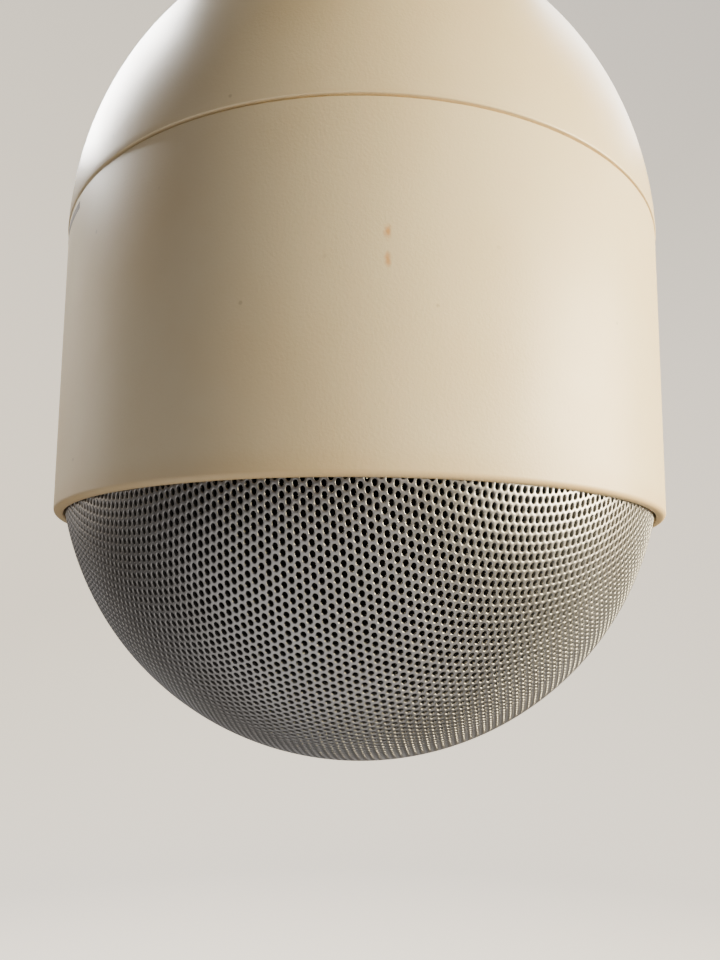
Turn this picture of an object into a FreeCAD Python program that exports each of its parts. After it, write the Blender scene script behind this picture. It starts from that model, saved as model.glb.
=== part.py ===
"""Pendant ceiling loudspeaker: ABS body and dome cover, steel grille, 130 mm driver, line transformer.

Heights are counted from the rim of the lower shell while the pieces are made.
The finished pieces are moved down so that the frame's origin is the centre of the suspension eye.
+Z is up and the front is -Y.
"""

import FreeCAD
import Part
import math
import os

from FreeCAD import Vector

# ---- shells
RIM_RADIUS = 98.0          # outside of the lower shell at its lip
SEAM_FLARE = 2.5           # how much wider the lower shell is at the seam
SHELL_HEIGHT = 91.2        # lip to seam
SHELL_WALL = 2.8
LIP_ROUND = 1.8            # rounded outer edge of the lip
SEAM_GROOVE_HEIGHT = 0.9   # shadow groove under the dome's edge
SEAM_GROOVE_DEPTH = 1.2
TONGUE_HEIGHT = 6.0        # ring that locates the dome cover
TONGUE_THICKNESS = 2.2
TONGUE_GAP = 0.4
DOME_RISE = 110.0          # seam to crown
DOME_WALL = 3.0
DOME_PROUD = 0.3           # the dome's edge stands out past the lower shell
COLLAR_DEPTH = 8.0         # collar round the crown opening
COLLAR_WALL = 3.0

# ---- top hub, eye and gland
HUB_RADIUS = 32.0
HUB_GAP = 1.0              # between the hub and the crown opening
HUB_FLAT_RADIUS = 12.0     # flat seat for the eye's washer
HUB_BASE_THICKNESS = 11.0
EYE_BORE_RADIUS = 8.0
EYE_OUTER_RADIUS = 14.0
EYE_THICKNESS = 8.0
EYE_NECK_HEIGHT = 5.0
EYE_COLLAR_RADIUS = 9.0
EYE_COLLAR_HEIGHT = 3.0
EYE_SHANK_RADIUS = 4.0     # M8
WASHER_RADIUS = 11.0
WASHER_THICKNESS = 1.6
M8_NUT_FLATS = 13.0
M8_NUT_HEIGHT = 6.5
SHANK_END = 3.0            # thread that stands past the nut
GLAND_EDGE = 11.5          # gland axis to the hub's edge
GLAND_THREAD_RADIUS = 6.0  # M12
GLAND_CABLE_RADIUS = 3.5
GLAND_FLATS = 15.0
GLAND_FLANGE_HEIGHT = 4.0
GLAND_CAP_HEIGHT = 9.0
GLAND_SEAL_RADIUS = 4.8
GLAND_THREAD_LENGTH = 6.5  # stands above the flange, inside the cap
GLAND_NUT_HEIGHT = 4.0
GLAND_NOSE_HEIGHT = 3.0
GLAND_NOSE_WALL = 1.2
HOLE_GAP = 0.25            # radial clearance of a screw or thread in its hole

# ---- suspension yoke
YOKE_THICKNESS = 3.0
YOKE_WIDTH = 28.0
YOKE_TOP_HALF = 25.0
YOKE_FOOT_LENGTH = 20.0
YOKE_FOOT_SPACE = 8.2      # end of the foot to the shelf's inner edge
YOKE_HOLE_SPACING = 16.0

# ---- bulkhead that closes the body under the dome
BULKHEAD_DROP = 7.2        # seam to the bulkhead's top
BULKHEAD_THICKNESS = 4.0
BULKHEAD_GAP = 0.4
GASKET_THICKNESS = 1.5
SHELF_THICKNESS = 4.0
SHELF_WIDTH = 10.0
BULKHEAD_SCREW_COUNT = 6
FIRST_SCREW_ANGLE = 30.0

# ---- grille and baffle
MOUTH_GAP = 0.6            # dark gap between the lip and the grille
GRILLE_DROP = 74.0         # rim to the lowest point of the grille
GRILLE_THICKNESS = 1.0
SKIRT_HEIGHT = 10.0        # straight part of the grille, inside the lip
FLANGE_WIDTH = 10.0
FOAM_THICKNESS = 4.0
FOAM_GAP = 0.3
FOAM_TOP = -4.0
RING_THICKNESS = 2.5
BAFFLE_THICKNESS = 6.0
LAND_THICKNESS = 4.0
LAND_WIDTH = 15.0
BAFFLE_SCREW_COUNT = 6

# ---- driver
DRIVER_RADIUS = 65.0
DRIVER_FLANGE_WIDTH = 8.0
DRIVER_GASKET_THICKNESS = 1.5
DRIVER_CUTOUT_GAP = 1.5
BASKET_SHEET = 1.2
SPIDER_ROOM = 10.0         # neck of the cone to the rear of the basket
BASKET_REAR_RADIUS = 38.0
SPIDER_SHELF_RADIUS = 33.0
SPIDER_SHELF_DROP = 6.0
BASKET_WINDOWS = 4
WINDOW_SPAN = 62.0         # degrees
TOP_PLATE_RADIUS = 36.0
TOP_PLATE_THICKNESS = 5.0
MAGNET_RADIUS = 40.0
MAGNET_BORE_RADIUS = 19.0
MAGNET_THICKNESS = 14.0
BACK_PLATE_RADIUS = 37.0
BACK_PLATE_THICKNESS = 5.0
POLE_RADIUS = 12.5
COIL_RADIUS = 13.2         # inside of the voice coil former
FORMER_THICKNESS = 0.15
WINDING_THICKNESS = 0.6
WINDING_HEIGHT = 10.0
COIL_GAP = 0.6             # winding to top plate
CONE_THICKNESS = 0.8
CONE_DEPTH = 21.0
SURROUND_WIDTH = 10.0
SURROUND_FOOT = 3.0        # glued width on the basket
CONE_LAP = 2.0             # glued width on the cone
SURROUND_THICKNESS = 0.7
SPIDER_WAVES = 4
SPIDER_WAVE_HEIGHT = 1.0
SPIDER_THICKNESS = 0.6
SPIDER_FLAT = 2.0          # flat part glued to the former
DUST_CAP_RADIUS = 18.0
DUST_CAP_RISE = 6.0
DUST_CAP_THICKNESS = 0.6
DRIVER_SCREW_COUNT = 4
STRIP_ANGLE = 135.0        # where the driver's terminals and the wire grommet are
STRIP_WIDTH = 20.0
STRIP_THICKNESS = 1.6
STRIP_HEIGHT = 12.0
STRIP_LIFT = 12.0          # driver's face to the strip's lower edge
STRIP_WEB_WIDTH = 8.0
STRIP_INSET = 3.0          # inside the basket's widest wall
TERMINAL_SPACING = 10.0
WINDOW_MARGIN = 3.0        # basket sheet left in front of its windows

# ---- parts on the bulkhead
TRANSFORMER_Y = 42.0
CORE_WIDTH = 48.0
CORE_STACK = 18.0
CORE_HEIGHT = 40.0
CORE_LEG = 8.0
BOBBIN_WALL = 1.2
WINDING_BULGE = 7.0
WINDING_INSET = 1.0        # winding's face inside the bobbin's flange
BRACKET_SHEET = 1.2
BRACKET_FOOT = 12.0
TERMINAL_BLOCK_Y = -44.0
TERMINAL_BLOCK_SIZE = (38.0, 18.0, 15.0)
TERMINAL_WAYS = 3
TERMINAL_WELL_RADIUS = 2.9
TERMINAL_WELL_DEPTH = 5.0
TERMINAL_ENTRY_RADIUS = 1.8
TERMINAL_ENTRY_HEIGHT = 6.0
TERMINAL_FLOOR = 3.0
TERMINAL_SLOT = (0.8, 3.0)  # width and depth of the slots between ways
SWITCH_X = 44.0
SWITCH_Y = -40.0
SWITCH_RADIUS = 13.0
SWITCH_DEPTH = 12.0
SWITCH_BUSH_RADIUS = 4.5
SWITCH_BUSH_HEIGHT = 7.0
SWITCH_NUT_FLATS = 12.0
SWITCH_NUT_HEIGHT = 2.5
SWITCH_TAG = (1.2, 2.4, 5.0)
SWITCH_TAG_COUNT = 8
SWITCH_TAG_INSET = 3.0
SWITCH_SHAFT_RADIUS = 3.0
SWITCH_SHAFT_HEIGHT = 16.0
SHAFT_GAP = 0.05
KNOB_RADIUS = 10.0
KNOB_HEIGHT = 12.0
KNOB_CLEARANCE = 1.0
KNOB_CHAMFER = 1.2
KNOB_FLUTE_RADIUS = 1.2
KNOB_FLUTE_COUNT = 12
KNOB_FLUTE_BASE = 3.0      # plain band under the flutes
POINTER_WIDTH = 1.2
POINTER_DEPTH = 0.6
CAPACITOR_X = -46.0
CAPACITOR_Y = -40.0
CAPACITOR_RADIUS = 9.0
CAPACITOR_LENGTH = 34.0
CAPACITOR_ROUND = 1.0
CAPACITOR_BEAD = 4.0       # rolled groove from the can's end
CLAMP_SHEET = 1.2
CLAMP_WIDTH = 10.0
CLAMP_FOOT = 10.0
WIRE_RADIUS = 1.1
WIRE_CLEARANCE = 0.5
WIRE_SPACING = 3.2
TINSEL_RADIUS = 0.5
TINSEL_CONTACT = 26.0      # where the leads leave the cone
TINSEL_RISE = 3.0
TINSEL_INSET = 8.0         # inside the basket's widest wall
GROMMET_RADIUS = 5.5
GROMMET_LIP = 1.5
GROMMET_SPACE = 0.35       # grommet's lip to the transformer's foot
WADDING_THICKNESS = 18.0
WADDING_MARGIN = 6.0

# ---- screws: shank radius, head radius, head height
SCREW_REACH = 3.0          # past the far side of the bulkhead
SMALL_SCREW = (1.5, 2.8, 2.0)
BODY_SCREW = (1.75, 3.4, 2.4)
RECESS_WIDTH = 0.9         # arms of the cross recess

# ---- sizes that follow from the ones above
SEAM_RADIUS = RIM_RADIUS + SEAM_FLARE
TAPER = SEAM_FLARE / SHELL_HEIGHT
MOUTH_RADIUS = RIM_RADIUS - SHELL_WALL
GRILLE_RADIUS = MOUTH_RADIUS - MOUTH_GAP
DOME_RADIUS = SEAM_RADIUS + DOME_PROUD
TONGUE_RADIUS = DOME_RADIUS - DOME_WALL - TONGUE_GAP
TONGUE_INNER = TONGUE_RADIUS - TONGUE_THICKNESS
CROWN_Z = SHELL_HEIGHT + DOME_RISE
OPENING_RADIUS = HUB_RADIUS + HUB_GAP
GLAND_OFFSET = HUB_RADIUS - GLAND_EDGE
GLAND_CORNER = GLAND_FLATS / math.sqrt(3)

FLANGE_TOP = SKIRT_HEIGHT
FLANGE_BOTTOM = FLANGE_TOP - GRILLE_THICKNESS
FLANGE_INNER = GRILLE_RADIUS - FLANGE_WIDTH
BAFFLE_BOTTOM = FLANGE_TOP
BAFFLE_TOP = BAFFLE_BOTTOM + BAFFLE_THICKNESS
BAFFLE_RADIUS = GRILLE_RADIUS
LAND_TOP = BAFFLE_TOP + LAND_THICKNESS
LAND_INNER = MOUTH_RADIUS - LAND_WIDTH
CLAMP_CIRCLE = GRILLE_RADIUS - FLANGE_WIDTH / 2

BULKHEAD_TOP = SHELL_HEIGHT - BULKHEAD_DROP
BULKHEAD_BOTTOM = BULKHEAD_TOP - BULKHEAD_THICKNESS
BULKHEAD_RADIUS = TONGUE_INNER - BULKHEAD_GAP
SHELF_TOP = BULKHEAD_BOTTOM - GASKET_THICKNESS
SHELF_BOTTOM = SHELF_TOP - SHELF_THICKNESS
SHELF_INNER = TONGUE_INNER - SHELF_WIDTH
BULKHEAD_CIRCLE = (SHELF_INNER + BULKHEAD_RADIUS) / 2
YOKE_FOOT_OUTER = SHELF_INNER - YOKE_FOOT_SPACE
YOKE_FOOT_INNER = YOKE_FOOT_OUTER - YOKE_FOOT_LENGTH
TRANSFORMER_FOOT = CORE_WIDTH / 2 + BRACKET_SHEET + BRACKET_FOOT

BASKET_WALL_RADIUS = DRIVER_RADIUS - DRIVER_FLANGE_WIDTH
DRIVER_SCREW_CIRCLE = DRIVER_RADIUS - DRIVER_FLANGE_WIDTH / 2
SURROUND_OUTER = BASKET_WALL_RADIUS
SURROUND_INNER = SURROUND_OUTER - SURROUND_WIDTH
BASKET_DEPTH = CONE_DEPTH + SPIDER_ROOM
DRIVER_FACE = BAFFLE_BOTTOM - DRIVER_GASKET_THICKNESS
BASKET_REAR = DRIVER_FACE + BASKET_DEPTH
CUTOUT_RADIUS = BASKET_WALL_RADIUS + DRIVER_CUTOUT_GAP
SPIDER_Z = BASKET_REAR - SPIDER_SHELF_DROP - BASKET_SHEET
TOP_PLATE_Z = BASKET_REAR
MAGNET_Z = TOP_PLATE_Z + TOP_PLATE_THICKNESS
BACK_PLATE_Z = MAGNET_Z + MAGNET_THICKNESS
BACK_PLATE_TOP = BACK_PLATE_Z + BACK_PLATE_THICKNESS
GAP_RADIUS = COIL_RADIUS + FORMER_THICKNESS + WINDING_THICKNESS + COIL_GAP
CONE_FRONT = DRIVER_FACE - BASKET_SHEET
CONE_NECK = CONE_FRONT + CONE_DEPTH

SEAT_RISE = DOME_RISE * math.sqrt(1 - (HUB_FLAT_RADIUS / DOME_RADIUS) ** 2)
HUB_SEAT = SHELL_HEIGHT + SEAT_RISE
YOKE_TOP = CROWN_Z - HUB_BASE_THICKNESS
COLLAR_Z = HUB_SEAT + WASHER_THICKNESS
EYE_Z = COLLAR_Z + EYE_COLLAR_HEIGHT + EYE_NECK_HEIGHT + EYE_BORE_RADIUS

parts = {}


# ---- helpers
def polygon(points):
    """A closed face in the XZ plane through (radius, height) points."""
    loop = [Vector(r, 0, z) for r, z in points]
    return Part.Face(Part.makePolygon(loop + loop[:1]))


def turned(points):
    """A solid of revolution about Z through (radius, height) points."""
    return polygon(points).revolve(Vector(0, 0, 0), Vector(0, 0, 1), 360)


def disc(radius, bottom, top, x=0.0, y=0.0):
    """An upright cylinder between two heights."""
    return Part.makeCylinder(radius, top - bottom, Vector(x, y, bottom))


def ring(outer, inner, bottom, top, x=0.0, y=0.0):
    """An upright tube between two heights."""
    return disc(outer, bottom, top, x, y).cut(disc(inner, bottom - 1, top + 1, x, y))


def block(size_x, size_y, size_z, x, y, bottom):
    """An upright block centred on x and y."""
    return Part.makeBox(size_x, size_y, size_z, Vector(x - size_x / 2, y - size_y / 2, bottom))


def hexagon(flats, bottom, top, x=0.0, y=0.0):
    """An upright hexagonal prism, measured across its flats."""
    corner = flats / math.sqrt(3)
    loop = [
        Vector(x + corner * math.cos(math.radians(a)), y + corner * math.sin(math.radians(a)), bottom)
        for a in range(0, 360, 60)
    ]
    return Part.Face(Part.makePolygon(loop + loop[:1])).extrude(Vector(0, 0, top - bottom))


def around(radius, count, first):
    """Evenly spaced (x, y) places on a circle."""
    angles = [math.radians(first + 360.0 * i / count) for i in range(count)]
    return [(radius * math.cos(a), radius * math.sin(a)) for a in angles]


def drilled(solid, places, radius, bottom, top):
    """The solid with an upright hole at each place."""
    for x, y in places:
        solid = solid.cut(disc(radius, bottom, top, x, y))
    return solid


def screw(kind, x, y, seat, tip, up=True):
    """A pan-head screw with a cross recess. Its head stands on the seat, up or down."""
    shank, head, height = kind
    way = 1 if up else -1
    low, high = sorted((seat, seat + way * height))
    body = disc(head, low, high, x, y)
    rounding = height * 0.45
    crown = [e for e in body.Edges if abs(e.BoundBox.Center.z - seat) > height / 2]
    body = body.makeFillet(rounding, [e for e in crown if e.BoundBox.XLength > head])
    low, high = sorted((seat, tip))
    body = body.fuse(disc(shank, low, high, x, y))
    face = seat + way * height
    low, high = sorted((face, face - way * height / 2))
    for length, width in ((head, RECESS_WIDTH), (RECESS_WIDTH, head)):
        body = body.cut(block(length, width, high - low, x, y, low))
    return body


def group(solids):
    """Separate solids that share one node."""
    return Part.makeCompound(solids)


def tube_along(points, radius, share=0.45):
    """A round wire along straight runs joined by tangent arcs."""
    corners = [Vector(*p) for p in points]
    edges = []
    start = corners[0]
    for before, corner, after in zip(corners, corners[1:], corners[2:], strict=False):
        inward = (before - corner).normalize()
        onward = (after - corner).normalize()
        reach = share * min((before - corner).Length, (after - corner).Length)
        a = corner + inward * reach
        b = corner + onward * reach
        half = inward.getAngle(onward) / 2
        bisector = (inward + onward).normalize()
        centre = corner + bisector * (reach / math.cos(half))
        middle = centre - bisector * (reach * math.tan(half))
        edges.append(Part.LineSegment(start, a).toShape())
        edges.append(Part.Arc(a, middle, b).toShape())
        start = b
    edges.append(Part.LineSegment(start, corners[-1]).toShape())
    path = Part.Wire(edges)
    direction = (corners[1] - corners[0]).normalize()
    section = Part.Wire([Part.Circle(corners[0], direction, radius).toShape()])
    return path.makePipeShell([section], True, True)


def half_ellipse_face(radius, rise, bottom):
    """The XZ face between the axis, a flat base and a quarter ellipse."""
    centre = Vector(0, 0, bottom)
    side = Vector(radius, 0, bottom)
    crown = Vector(0, 0, bottom + rise)
    long_end, short_end = (crown, side) if rise > radius else (side, crown)
    curve = Part.Ellipse(long_end, short_end, centre)
    first, last = sorted((curve.parameter(side), curve.parameter(crown)))
    if last - first > math.pi:
        first, last = last, first + 2 * math.pi
    arc = Part.ArcOfEllipse(curve, first, last).toShape()
    sides = [Part.makeLine(crown, centre), Part.makeLine(centre, side)]
    return Part.Face(Part.Wire(Part.__sortEdges__([arc, *sides])))


def half_ellipsoid(radius, rise, bottom):
    """A solid half-ellipsoid standing on a flat base."""
    face = half_ellipse_face(radius, rise, bottom)
    return face.revolve(Vector(0, 0, 0), Vector(0, 0, 1), 360)


def shell_radius(z):
    """Outside radius of the lower shell at a height."""
    return RIM_RADIUS + TAPER * z


def bore_radius(z):
    """Inside radius of the lower shell at a height."""
    return shell_radius(z) - SHELL_WALL


# ---- shells
def lower_shell():
    """Body with its lip, a land for the baffle, a shelf for the bulkhead and a tongue for the dome cover."""
    top = SHELL_HEIGHT
    brace = SHELF_BOTTOM - SHELF_WIDTH / 2
    solid = turned([
        (MOUTH_RADIUS, 0), (RIM_RADIUS, 0), (SEAM_RADIUS, top), (TONGUE_RADIUS, top),
        (TONGUE_RADIUS, top + TONGUE_HEIGHT), (TONGUE_INNER, top + TONGUE_HEIGHT), (TONGUE_INNER, SHELF_TOP),
        (SHELF_INNER, SHELF_TOP), (SHELF_INNER, SHELF_BOTTOM), (bore_radius(SHELF_BOTTOM), brace),
        (bore_radius(LAND_TOP), LAND_TOP), (LAND_INNER, LAND_TOP), (LAND_INNER, BAFFLE_TOP),
        (MOUTH_RADIUS, BAFFLE_TOP),
    ])
    low_edges = [e for e in solid.Edges if abs(e.BoundBox.Center.z) < 0.01]
    lip = [e for e in low_edges if e.BoundBox.XLength > 2 * RIM_RADIUS - 0.1]
    solid = solid.makeFillet(min(LIP_ROUND, 0.7 * SHELL_WALL), lip)
    groove = ring(SEAM_RADIUS + 1, SEAM_RADIUS - SEAM_GROOVE_DEPTH, top - SEAM_GROOVE_HEIGHT, top + 1)
    solid = solid.cut(groove)
    shank = BODY_SCREW[0] + HOLE_GAP
    solid = drilled(solid, clamp_places(), shank, BAFFLE_TOP - 1, LAND_TOP + 1)
    return drilled(solid, bulkhead_places(), BODY_SCREW[0], SHELF_BOTTOM - SHELF_WIDTH, SHELF_TOP + 1)


def dome_cover():
    """Half-ellipsoid cover with a collar round its crown opening."""
    outer = half_ellipsoid(DOME_RADIUS, DOME_RISE, SHELL_HEIGHT)
    inner = half_ellipsoid(DOME_RADIUS - DOME_WALL, DOME_RISE - DOME_WALL, SHELL_HEIGHT)
    skin = outer.cut(inner)
    edge_z = SHELL_HEIGHT + DOME_RISE * math.sqrt(1 - (OPENING_RADIUS / DOME_RADIUS) ** 2)
    collar = ring(OPENING_RADIUS + COLLAR_WALL, OPENING_RADIUS, edge_z - COLLAR_DEPTH, CROWN_Z + 1)
    cover = skin.fuse(collar.common(outer))
    return cover.cut(disc(OPENING_RADIUS, edge_z - 2 * COLLAR_DEPTH, CROWN_Z + 1)).removeSplitter()


def clamp_places():
    """Screws that clamp the grille and its ring to the land."""
    return around(CLAMP_CIRCLE, BAFFLE_SCREW_COUNT, FIRST_SCREW_ANGLE)


def bulkhead_places():
    """Screws of the bulkhead on its shelf."""
    return around(BULKHEAD_CIRCLE, BULKHEAD_SCREW_COUNT, FIRST_SCREW_ANGLE)


# ---- suspension
def top_hub():
    """Plug in the crown opening, with a seat for the eye, and a flat and a pocket for the gland."""
    outer = half_ellipsoid(DOME_RADIUS, DOME_RISE, SHELL_HEIGHT)
    hub = outer.common(disc(HUB_RADIUS, YOKE_TOP, CROWN_Z + 1))
    hub = hub.cut(disc(2 * HUB_RADIUS, HUB_SEAT, CROWN_Z + 2))
    hub = hub.cut(disc(EYE_SHANK_RADIUS + HOLE_GAP, YOKE_TOP - 1, CROWN_Z + 1))
    hub = hub.cut(disc(GLAND_THREAD_RADIUS + HOLE_GAP, YOKE_TOP - 1, CROWN_Z + 1, 0, GLAND_OFFSET))
    seat = gland_seat()
    hub = hub.cut(disc(GLAND_CORNER + HOLE_GAP, seat, CROWN_Z + 1, 0, GLAND_OFFSET))
    return hub.cut(disc(GLAND_CORNER + 2 * HOLE_GAP, YOKE_TOP - 1, gland_grip(), 0, GLAND_OFFSET))


def gland_seat():
    """Height of the flat that the gland stands on, sunk into the hub."""
    reach = min(GLAND_OFFSET + GLAND_CORNER, HUB_RADIUS)
    return SHELL_HEIGHT + DOME_RISE * math.sqrt(1 - (reach / DOME_RADIUS) ** 2)


def gland_grip():
    """Height of the hub's underside that the gland's nut is tightened against."""
    return max(gland_seat() - GLAND_FLANGE_HEIGHT, YOKE_TOP)


def eye_bolt():
    """Ring, neck, collar and threaded shank in one forging."""
    collar = disc(EYE_COLLAR_RADIUS, COLLAR_Z, COLLAR_Z + EYE_COLLAR_HEIGHT)
    base = Vector(0, -EYE_THICKNESS / 2, EYE_Z)
    along = Vector(0, 1, 0)
    eye = Part.makeCylinder(EYE_OUTER_RADIUS, EYE_THICKNESS, base, along)
    eye = eye.makeFillet(EYE_THICKNESS / 4, [e for e in eye.Edges if e.BoundBox.XLength > EYE_OUTER_RADIUS])
    neck = disc(EYE_SHANK_RADIUS + 1, COLLAR_Z, EYE_Z - EYE_BORE_RADIUS - 1)
    shank = disc(EYE_SHANK_RADIUS, shank_tip(), COLLAR_Z)
    solid = eye.fuse([collar, neck, shank])
    bore = Part.makeCylinder(EYE_BORE_RADIUS, 2 * EYE_THICKNESS, base - along * EYE_THICKNESS / 2, along)
    return solid.cut(bore).removeSplitter()


def shank_tip():
    """Height of the lower end of the eye's thread."""
    return YOKE_TOP - YOKE_THICKNESS - WASHER_THICKNESS - M8_NUT_HEIGHT - SHANK_END


def eye_washers():
    """One washer on the hub and one under the yoke."""
    hole = EYE_SHANK_RADIUS + HOLE_GAP
    under = YOKE_TOP - YOKE_THICKNESS
    return group([
        ring(WASHER_RADIUS, hole, HUB_SEAT, HUB_SEAT + WASHER_THICKNESS),
        ring(WASHER_RADIUS, hole, under - WASHER_THICKNESS, under),
    ])


def eye_locknut():
    """Nut that holds the yoke to the eye."""
    top = YOKE_TOP - YOKE_THICKNESS - WASHER_THICKNESS
    nut = hexagon(M8_NUT_FLATS, top - M8_NUT_HEIGHT, top)
    return nut.cut(disc(EYE_SHANK_RADIUS, top - M8_NUT_HEIGHT - 1, top + 1))


def suspension_yoke():
    """A strap bent into a trapezium: foot, leg, top, leg, foot."""
    t = YOKE_THICKNESS
    right = [
        (YOKE_FOOT_OUTER, BULKHEAD_TOP), (YOKE_FOOT_OUTER, BULKHEAD_TOP + t),
        (YOKE_FOOT_INNER, BULKHEAD_TOP + t), (YOKE_TOP_HALF, YOKE_TOP),
    ]
    lean = math.hypot(YOKE_FOOT_INNER - YOKE_TOP_HALF, YOKE_TOP - BULKHEAD_TOP) / (YOKE_TOP - BULKHEAD_TOP)
    inside = [(YOKE_TOP_HALF - t * lean, YOKE_TOP - t), (YOKE_FOOT_INNER - t * lean, BULKHEAD_TOP)]
    mirrored = [(-x, z) for x, z in reversed(right)]
    mirrored_inside = [(-x, z) for x, z in reversed(inside)]
    loop = [Vector(x, -YOKE_WIDTH / 2, z) for x, z in right + mirrored + mirrored_inside + inside]
    strap = Part.Face(Part.makePolygon(loop + loop[:1])).extrude(Vector(0, YOKE_WIDTH, 0))
    strap = strap.cut(disc(EYE_SHANK_RADIUS + HOLE_GAP, YOKE_TOP - t - 1, YOKE_TOP + 1))
    gland_clear = GLAND_CORNER + 2 * HOLE_GAP
    strap = strap.cut(disc(gland_clear, YOKE_TOP - 2 * t, YOKE_TOP + 1, 0, GLAND_OFFSET))
    return drilled(strap, yoke_places(), SMALL_SCREW[0] + HOLE_GAP, BULKHEAD_TOP - 1, BULKHEAD_TOP + t + 1)


def yoke_places():
    """Screws of the yoke's two feet."""
    x = YOKE_FOOT_INNER + YOKE_FOOT_LENGTH / 2
    y = YOKE_HOLE_SPACING / 2
    return [(sx * x, sy * y) for sx in (-1, 1) for sy in (-1, 1)]


def gland_body():
    """Hexagon with a thread above and below, bored for the cable and cupped for the seal."""
    seat = gland_seat()
    body = hexagon(GLAND_FLATS, seat, seat + GLAND_FLANGE_HEIGHT, 0, GLAND_OFFSET)
    top = seat + GLAND_FLANGE_HEIGHT + GLAND_THREAD_LENGTH
    body = body.fuse(disc(GLAND_THREAD_RADIUS, gland_nut_bottom() - 1, top, 0, GLAND_OFFSET))
    body = body.cut(disc(GLAND_CABLE_RADIUS, gland_nut_bottom() - 2, top + 1, 0, GLAND_OFFSET))
    cup = disc(GLAND_SEAL_RADIUS, seat + GLAND_FLANGE_HEIGHT, top + 1, 0, GLAND_OFFSET)
    return body.cut(cup)


def gland_seal():
    """Rubber sleeve that grips the cable."""
    bottom = gland_seat() + GLAND_FLANGE_HEIGHT
    return ring(GLAND_SEAL_RADIUS, GLAND_CABLE_RADIUS, bottom, bottom + GLAND_THREAD_LENGTH, 0, GLAND_OFFSET)


def gland_cap():
    """Hexagonal cap with a tapered nose."""
    bottom = gland_seat() + GLAND_FLANGE_HEIGHT
    top = bottom + GLAND_CAP_HEIGHT
    nose_z = top - GLAND_NOSE_HEIGHT
    nose_tip = GLAND_CABLE_RADIUS + GLAND_NOSE_WALL
    nose = Part.makeCone(GLAND_FLATS / 2, nose_tip, GLAND_NOSE_HEIGHT, Vector(0, GLAND_OFFSET, nose_z))
    cap = hexagon(GLAND_FLATS, bottom, nose_z, 0, GLAND_OFFSET).fuse(nose)
    cap = cap.cut(disc(GLAND_THREAD_RADIUS, bottom - 1, bottom + GLAND_THREAD_LENGTH, 0, GLAND_OFFSET))
    return cap.cut(disc(GLAND_CABLE_RADIUS, bottom - 1, top + 1, 0, GLAND_OFFSET))


def gland_nut_bottom():
    """Height of the lower face of the gland's nut."""
    return gland_grip() - GLAND_NUT_HEIGHT


def gland_locknut():
    """Nut inside the hub's pocket."""
    bottom = gland_nut_bottom()
    nut = hexagon(GLAND_FLATS, bottom, bottom + GLAND_NUT_HEIGHT, 0, GLAND_OFFSET)
    return nut.cut(disc(GLAND_THREAD_RADIUS, bottom - 1, bottom + GLAND_NUT_HEIGHT + 1, 0, GLAND_OFFSET))


# ---- bulkhead
def rear_bulkhead():
    """Plate that closes the body and carries the yoke and the electrical parts."""
    plate = disc(BULKHEAD_RADIUS, BULKHEAD_BOTTOM, BULKHEAD_TOP)
    low, high = BULKHEAD_BOTTOM - 1, BULKHEAD_TOP + 1
    plate = drilled(plate, bulkhead_places(), BODY_SCREW[0] + HOLE_GAP, low, high)
    tapped = yoke_places() + transformer_places() + [clamp_screw_place()]
    plate = drilled(plate, tapped, SMALL_SCREW[0], low, high)
    plate = drilled(plate, [(SWITCH_X, SWITCH_Y)], SWITCH_BUSH_RADIUS + HOLE_GAP, low, high)
    return drilled(plate, [grommet_place()], GROMMET_RADIUS, low, high)


def bulkhead_gasket():
    """Ring between the shelf and the bulkhead."""
    gasket = ring(BULKHEAD_RADIUS, SHELF_INNER, SHELF_TOP, BULKHEAD_BOTTOM)
    return drilled(gasket, bulkhead_places(), BODY_SCREW[0] + HOLE_GAP, SHELF_TOP - 1, BULKHEAD_BOTTOM + 1)


def grommet_place():
    """Beside the transformer's foot, in the direction of the driver's terminals."""
    angle = math.radians(STRIP_ANGLE)
    radius = (TRANSFORMER_FOOT + GROMMET_RADIUS + GROMMET_LIP + GROMMET_SPACE) / abs(math.cos(angle))
    return (radius * math.cos(angle), radius * math.sin(angle))


def lead_grommet():
    """Rubber grommet with two holes for the speaker leads."""
    x, y = grommet_place()
    waist = disc(GROMMET_RADIUS, BULKHEAD_BOTTOM, BULKHEAD_TOP, x, y)
    lips = [
        disc(GROMMET_RADIUS + GROMMET_LIP, BULKHEAD_TOP, BULKHEAD_TOP + GROMMET_LIP, x, y),
        disc(GROMMET_RADIUS + GROMMET_LIP, BULKHEAD_BOTTOM - GROMMET_LIP, BULKHEAD_BOTTOM, x, y),
    ]
    body = waist.fuse(lips)
    for side in (-1, 1):
        wx, wy = beside(x, y, side)
        body = body.cut(disc(WIRE_RADIUS, BULKHEAD_BOTTOM - 9, BULKHEAD_TOP + 9, wx, wy))
    return body


def beside(x, y, side):
    """A place half a wire spacing to one side of a radial line."""
    angle = math.atan2(y, x)
    step = side * WIRE_SPACING / 2
    return (x - step * math.sin(angle), y + step * math.cos(angle))


# ---- transformer
def core_bottom():
    """Height of the transformer's underside."""
    return BULKHEAD_TOP + BRACKET_SHEET


def transformer_core():
    """Laminations with two windows, round the bobbin's middle leg."""
    core = block(CORE_WIDTH, CORE_STACK, CORE_HEIGHT, 0, TRANSFORMER_Y, core_bottom())
    window = (CORE_WIDTH - 4 * CORE_LEG) / 2
    for side in (-1, 1):
        x = side * (CORE_LEG + window / 2)
        low, high = bobbin_span()
        core = core.cut(block(window, 2 * CORE_STACK, high - low, x, TRANSFORMER_Y, low))
    return core


def bobbin_span():
    """Lowest and highest height of the core's windows."""
    return core_bottom() + CORE_LEG, core_bottom() + CORE_HEIGHT - CORE_LEG


def bobbin_hub():
    """Outside width and depth of the bobbin's tube."""
    return 2 * CORE_LEG + 2 * BOBBIN_WALL, CORE_STACK + 2 * BOBBIN_WALL


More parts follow.
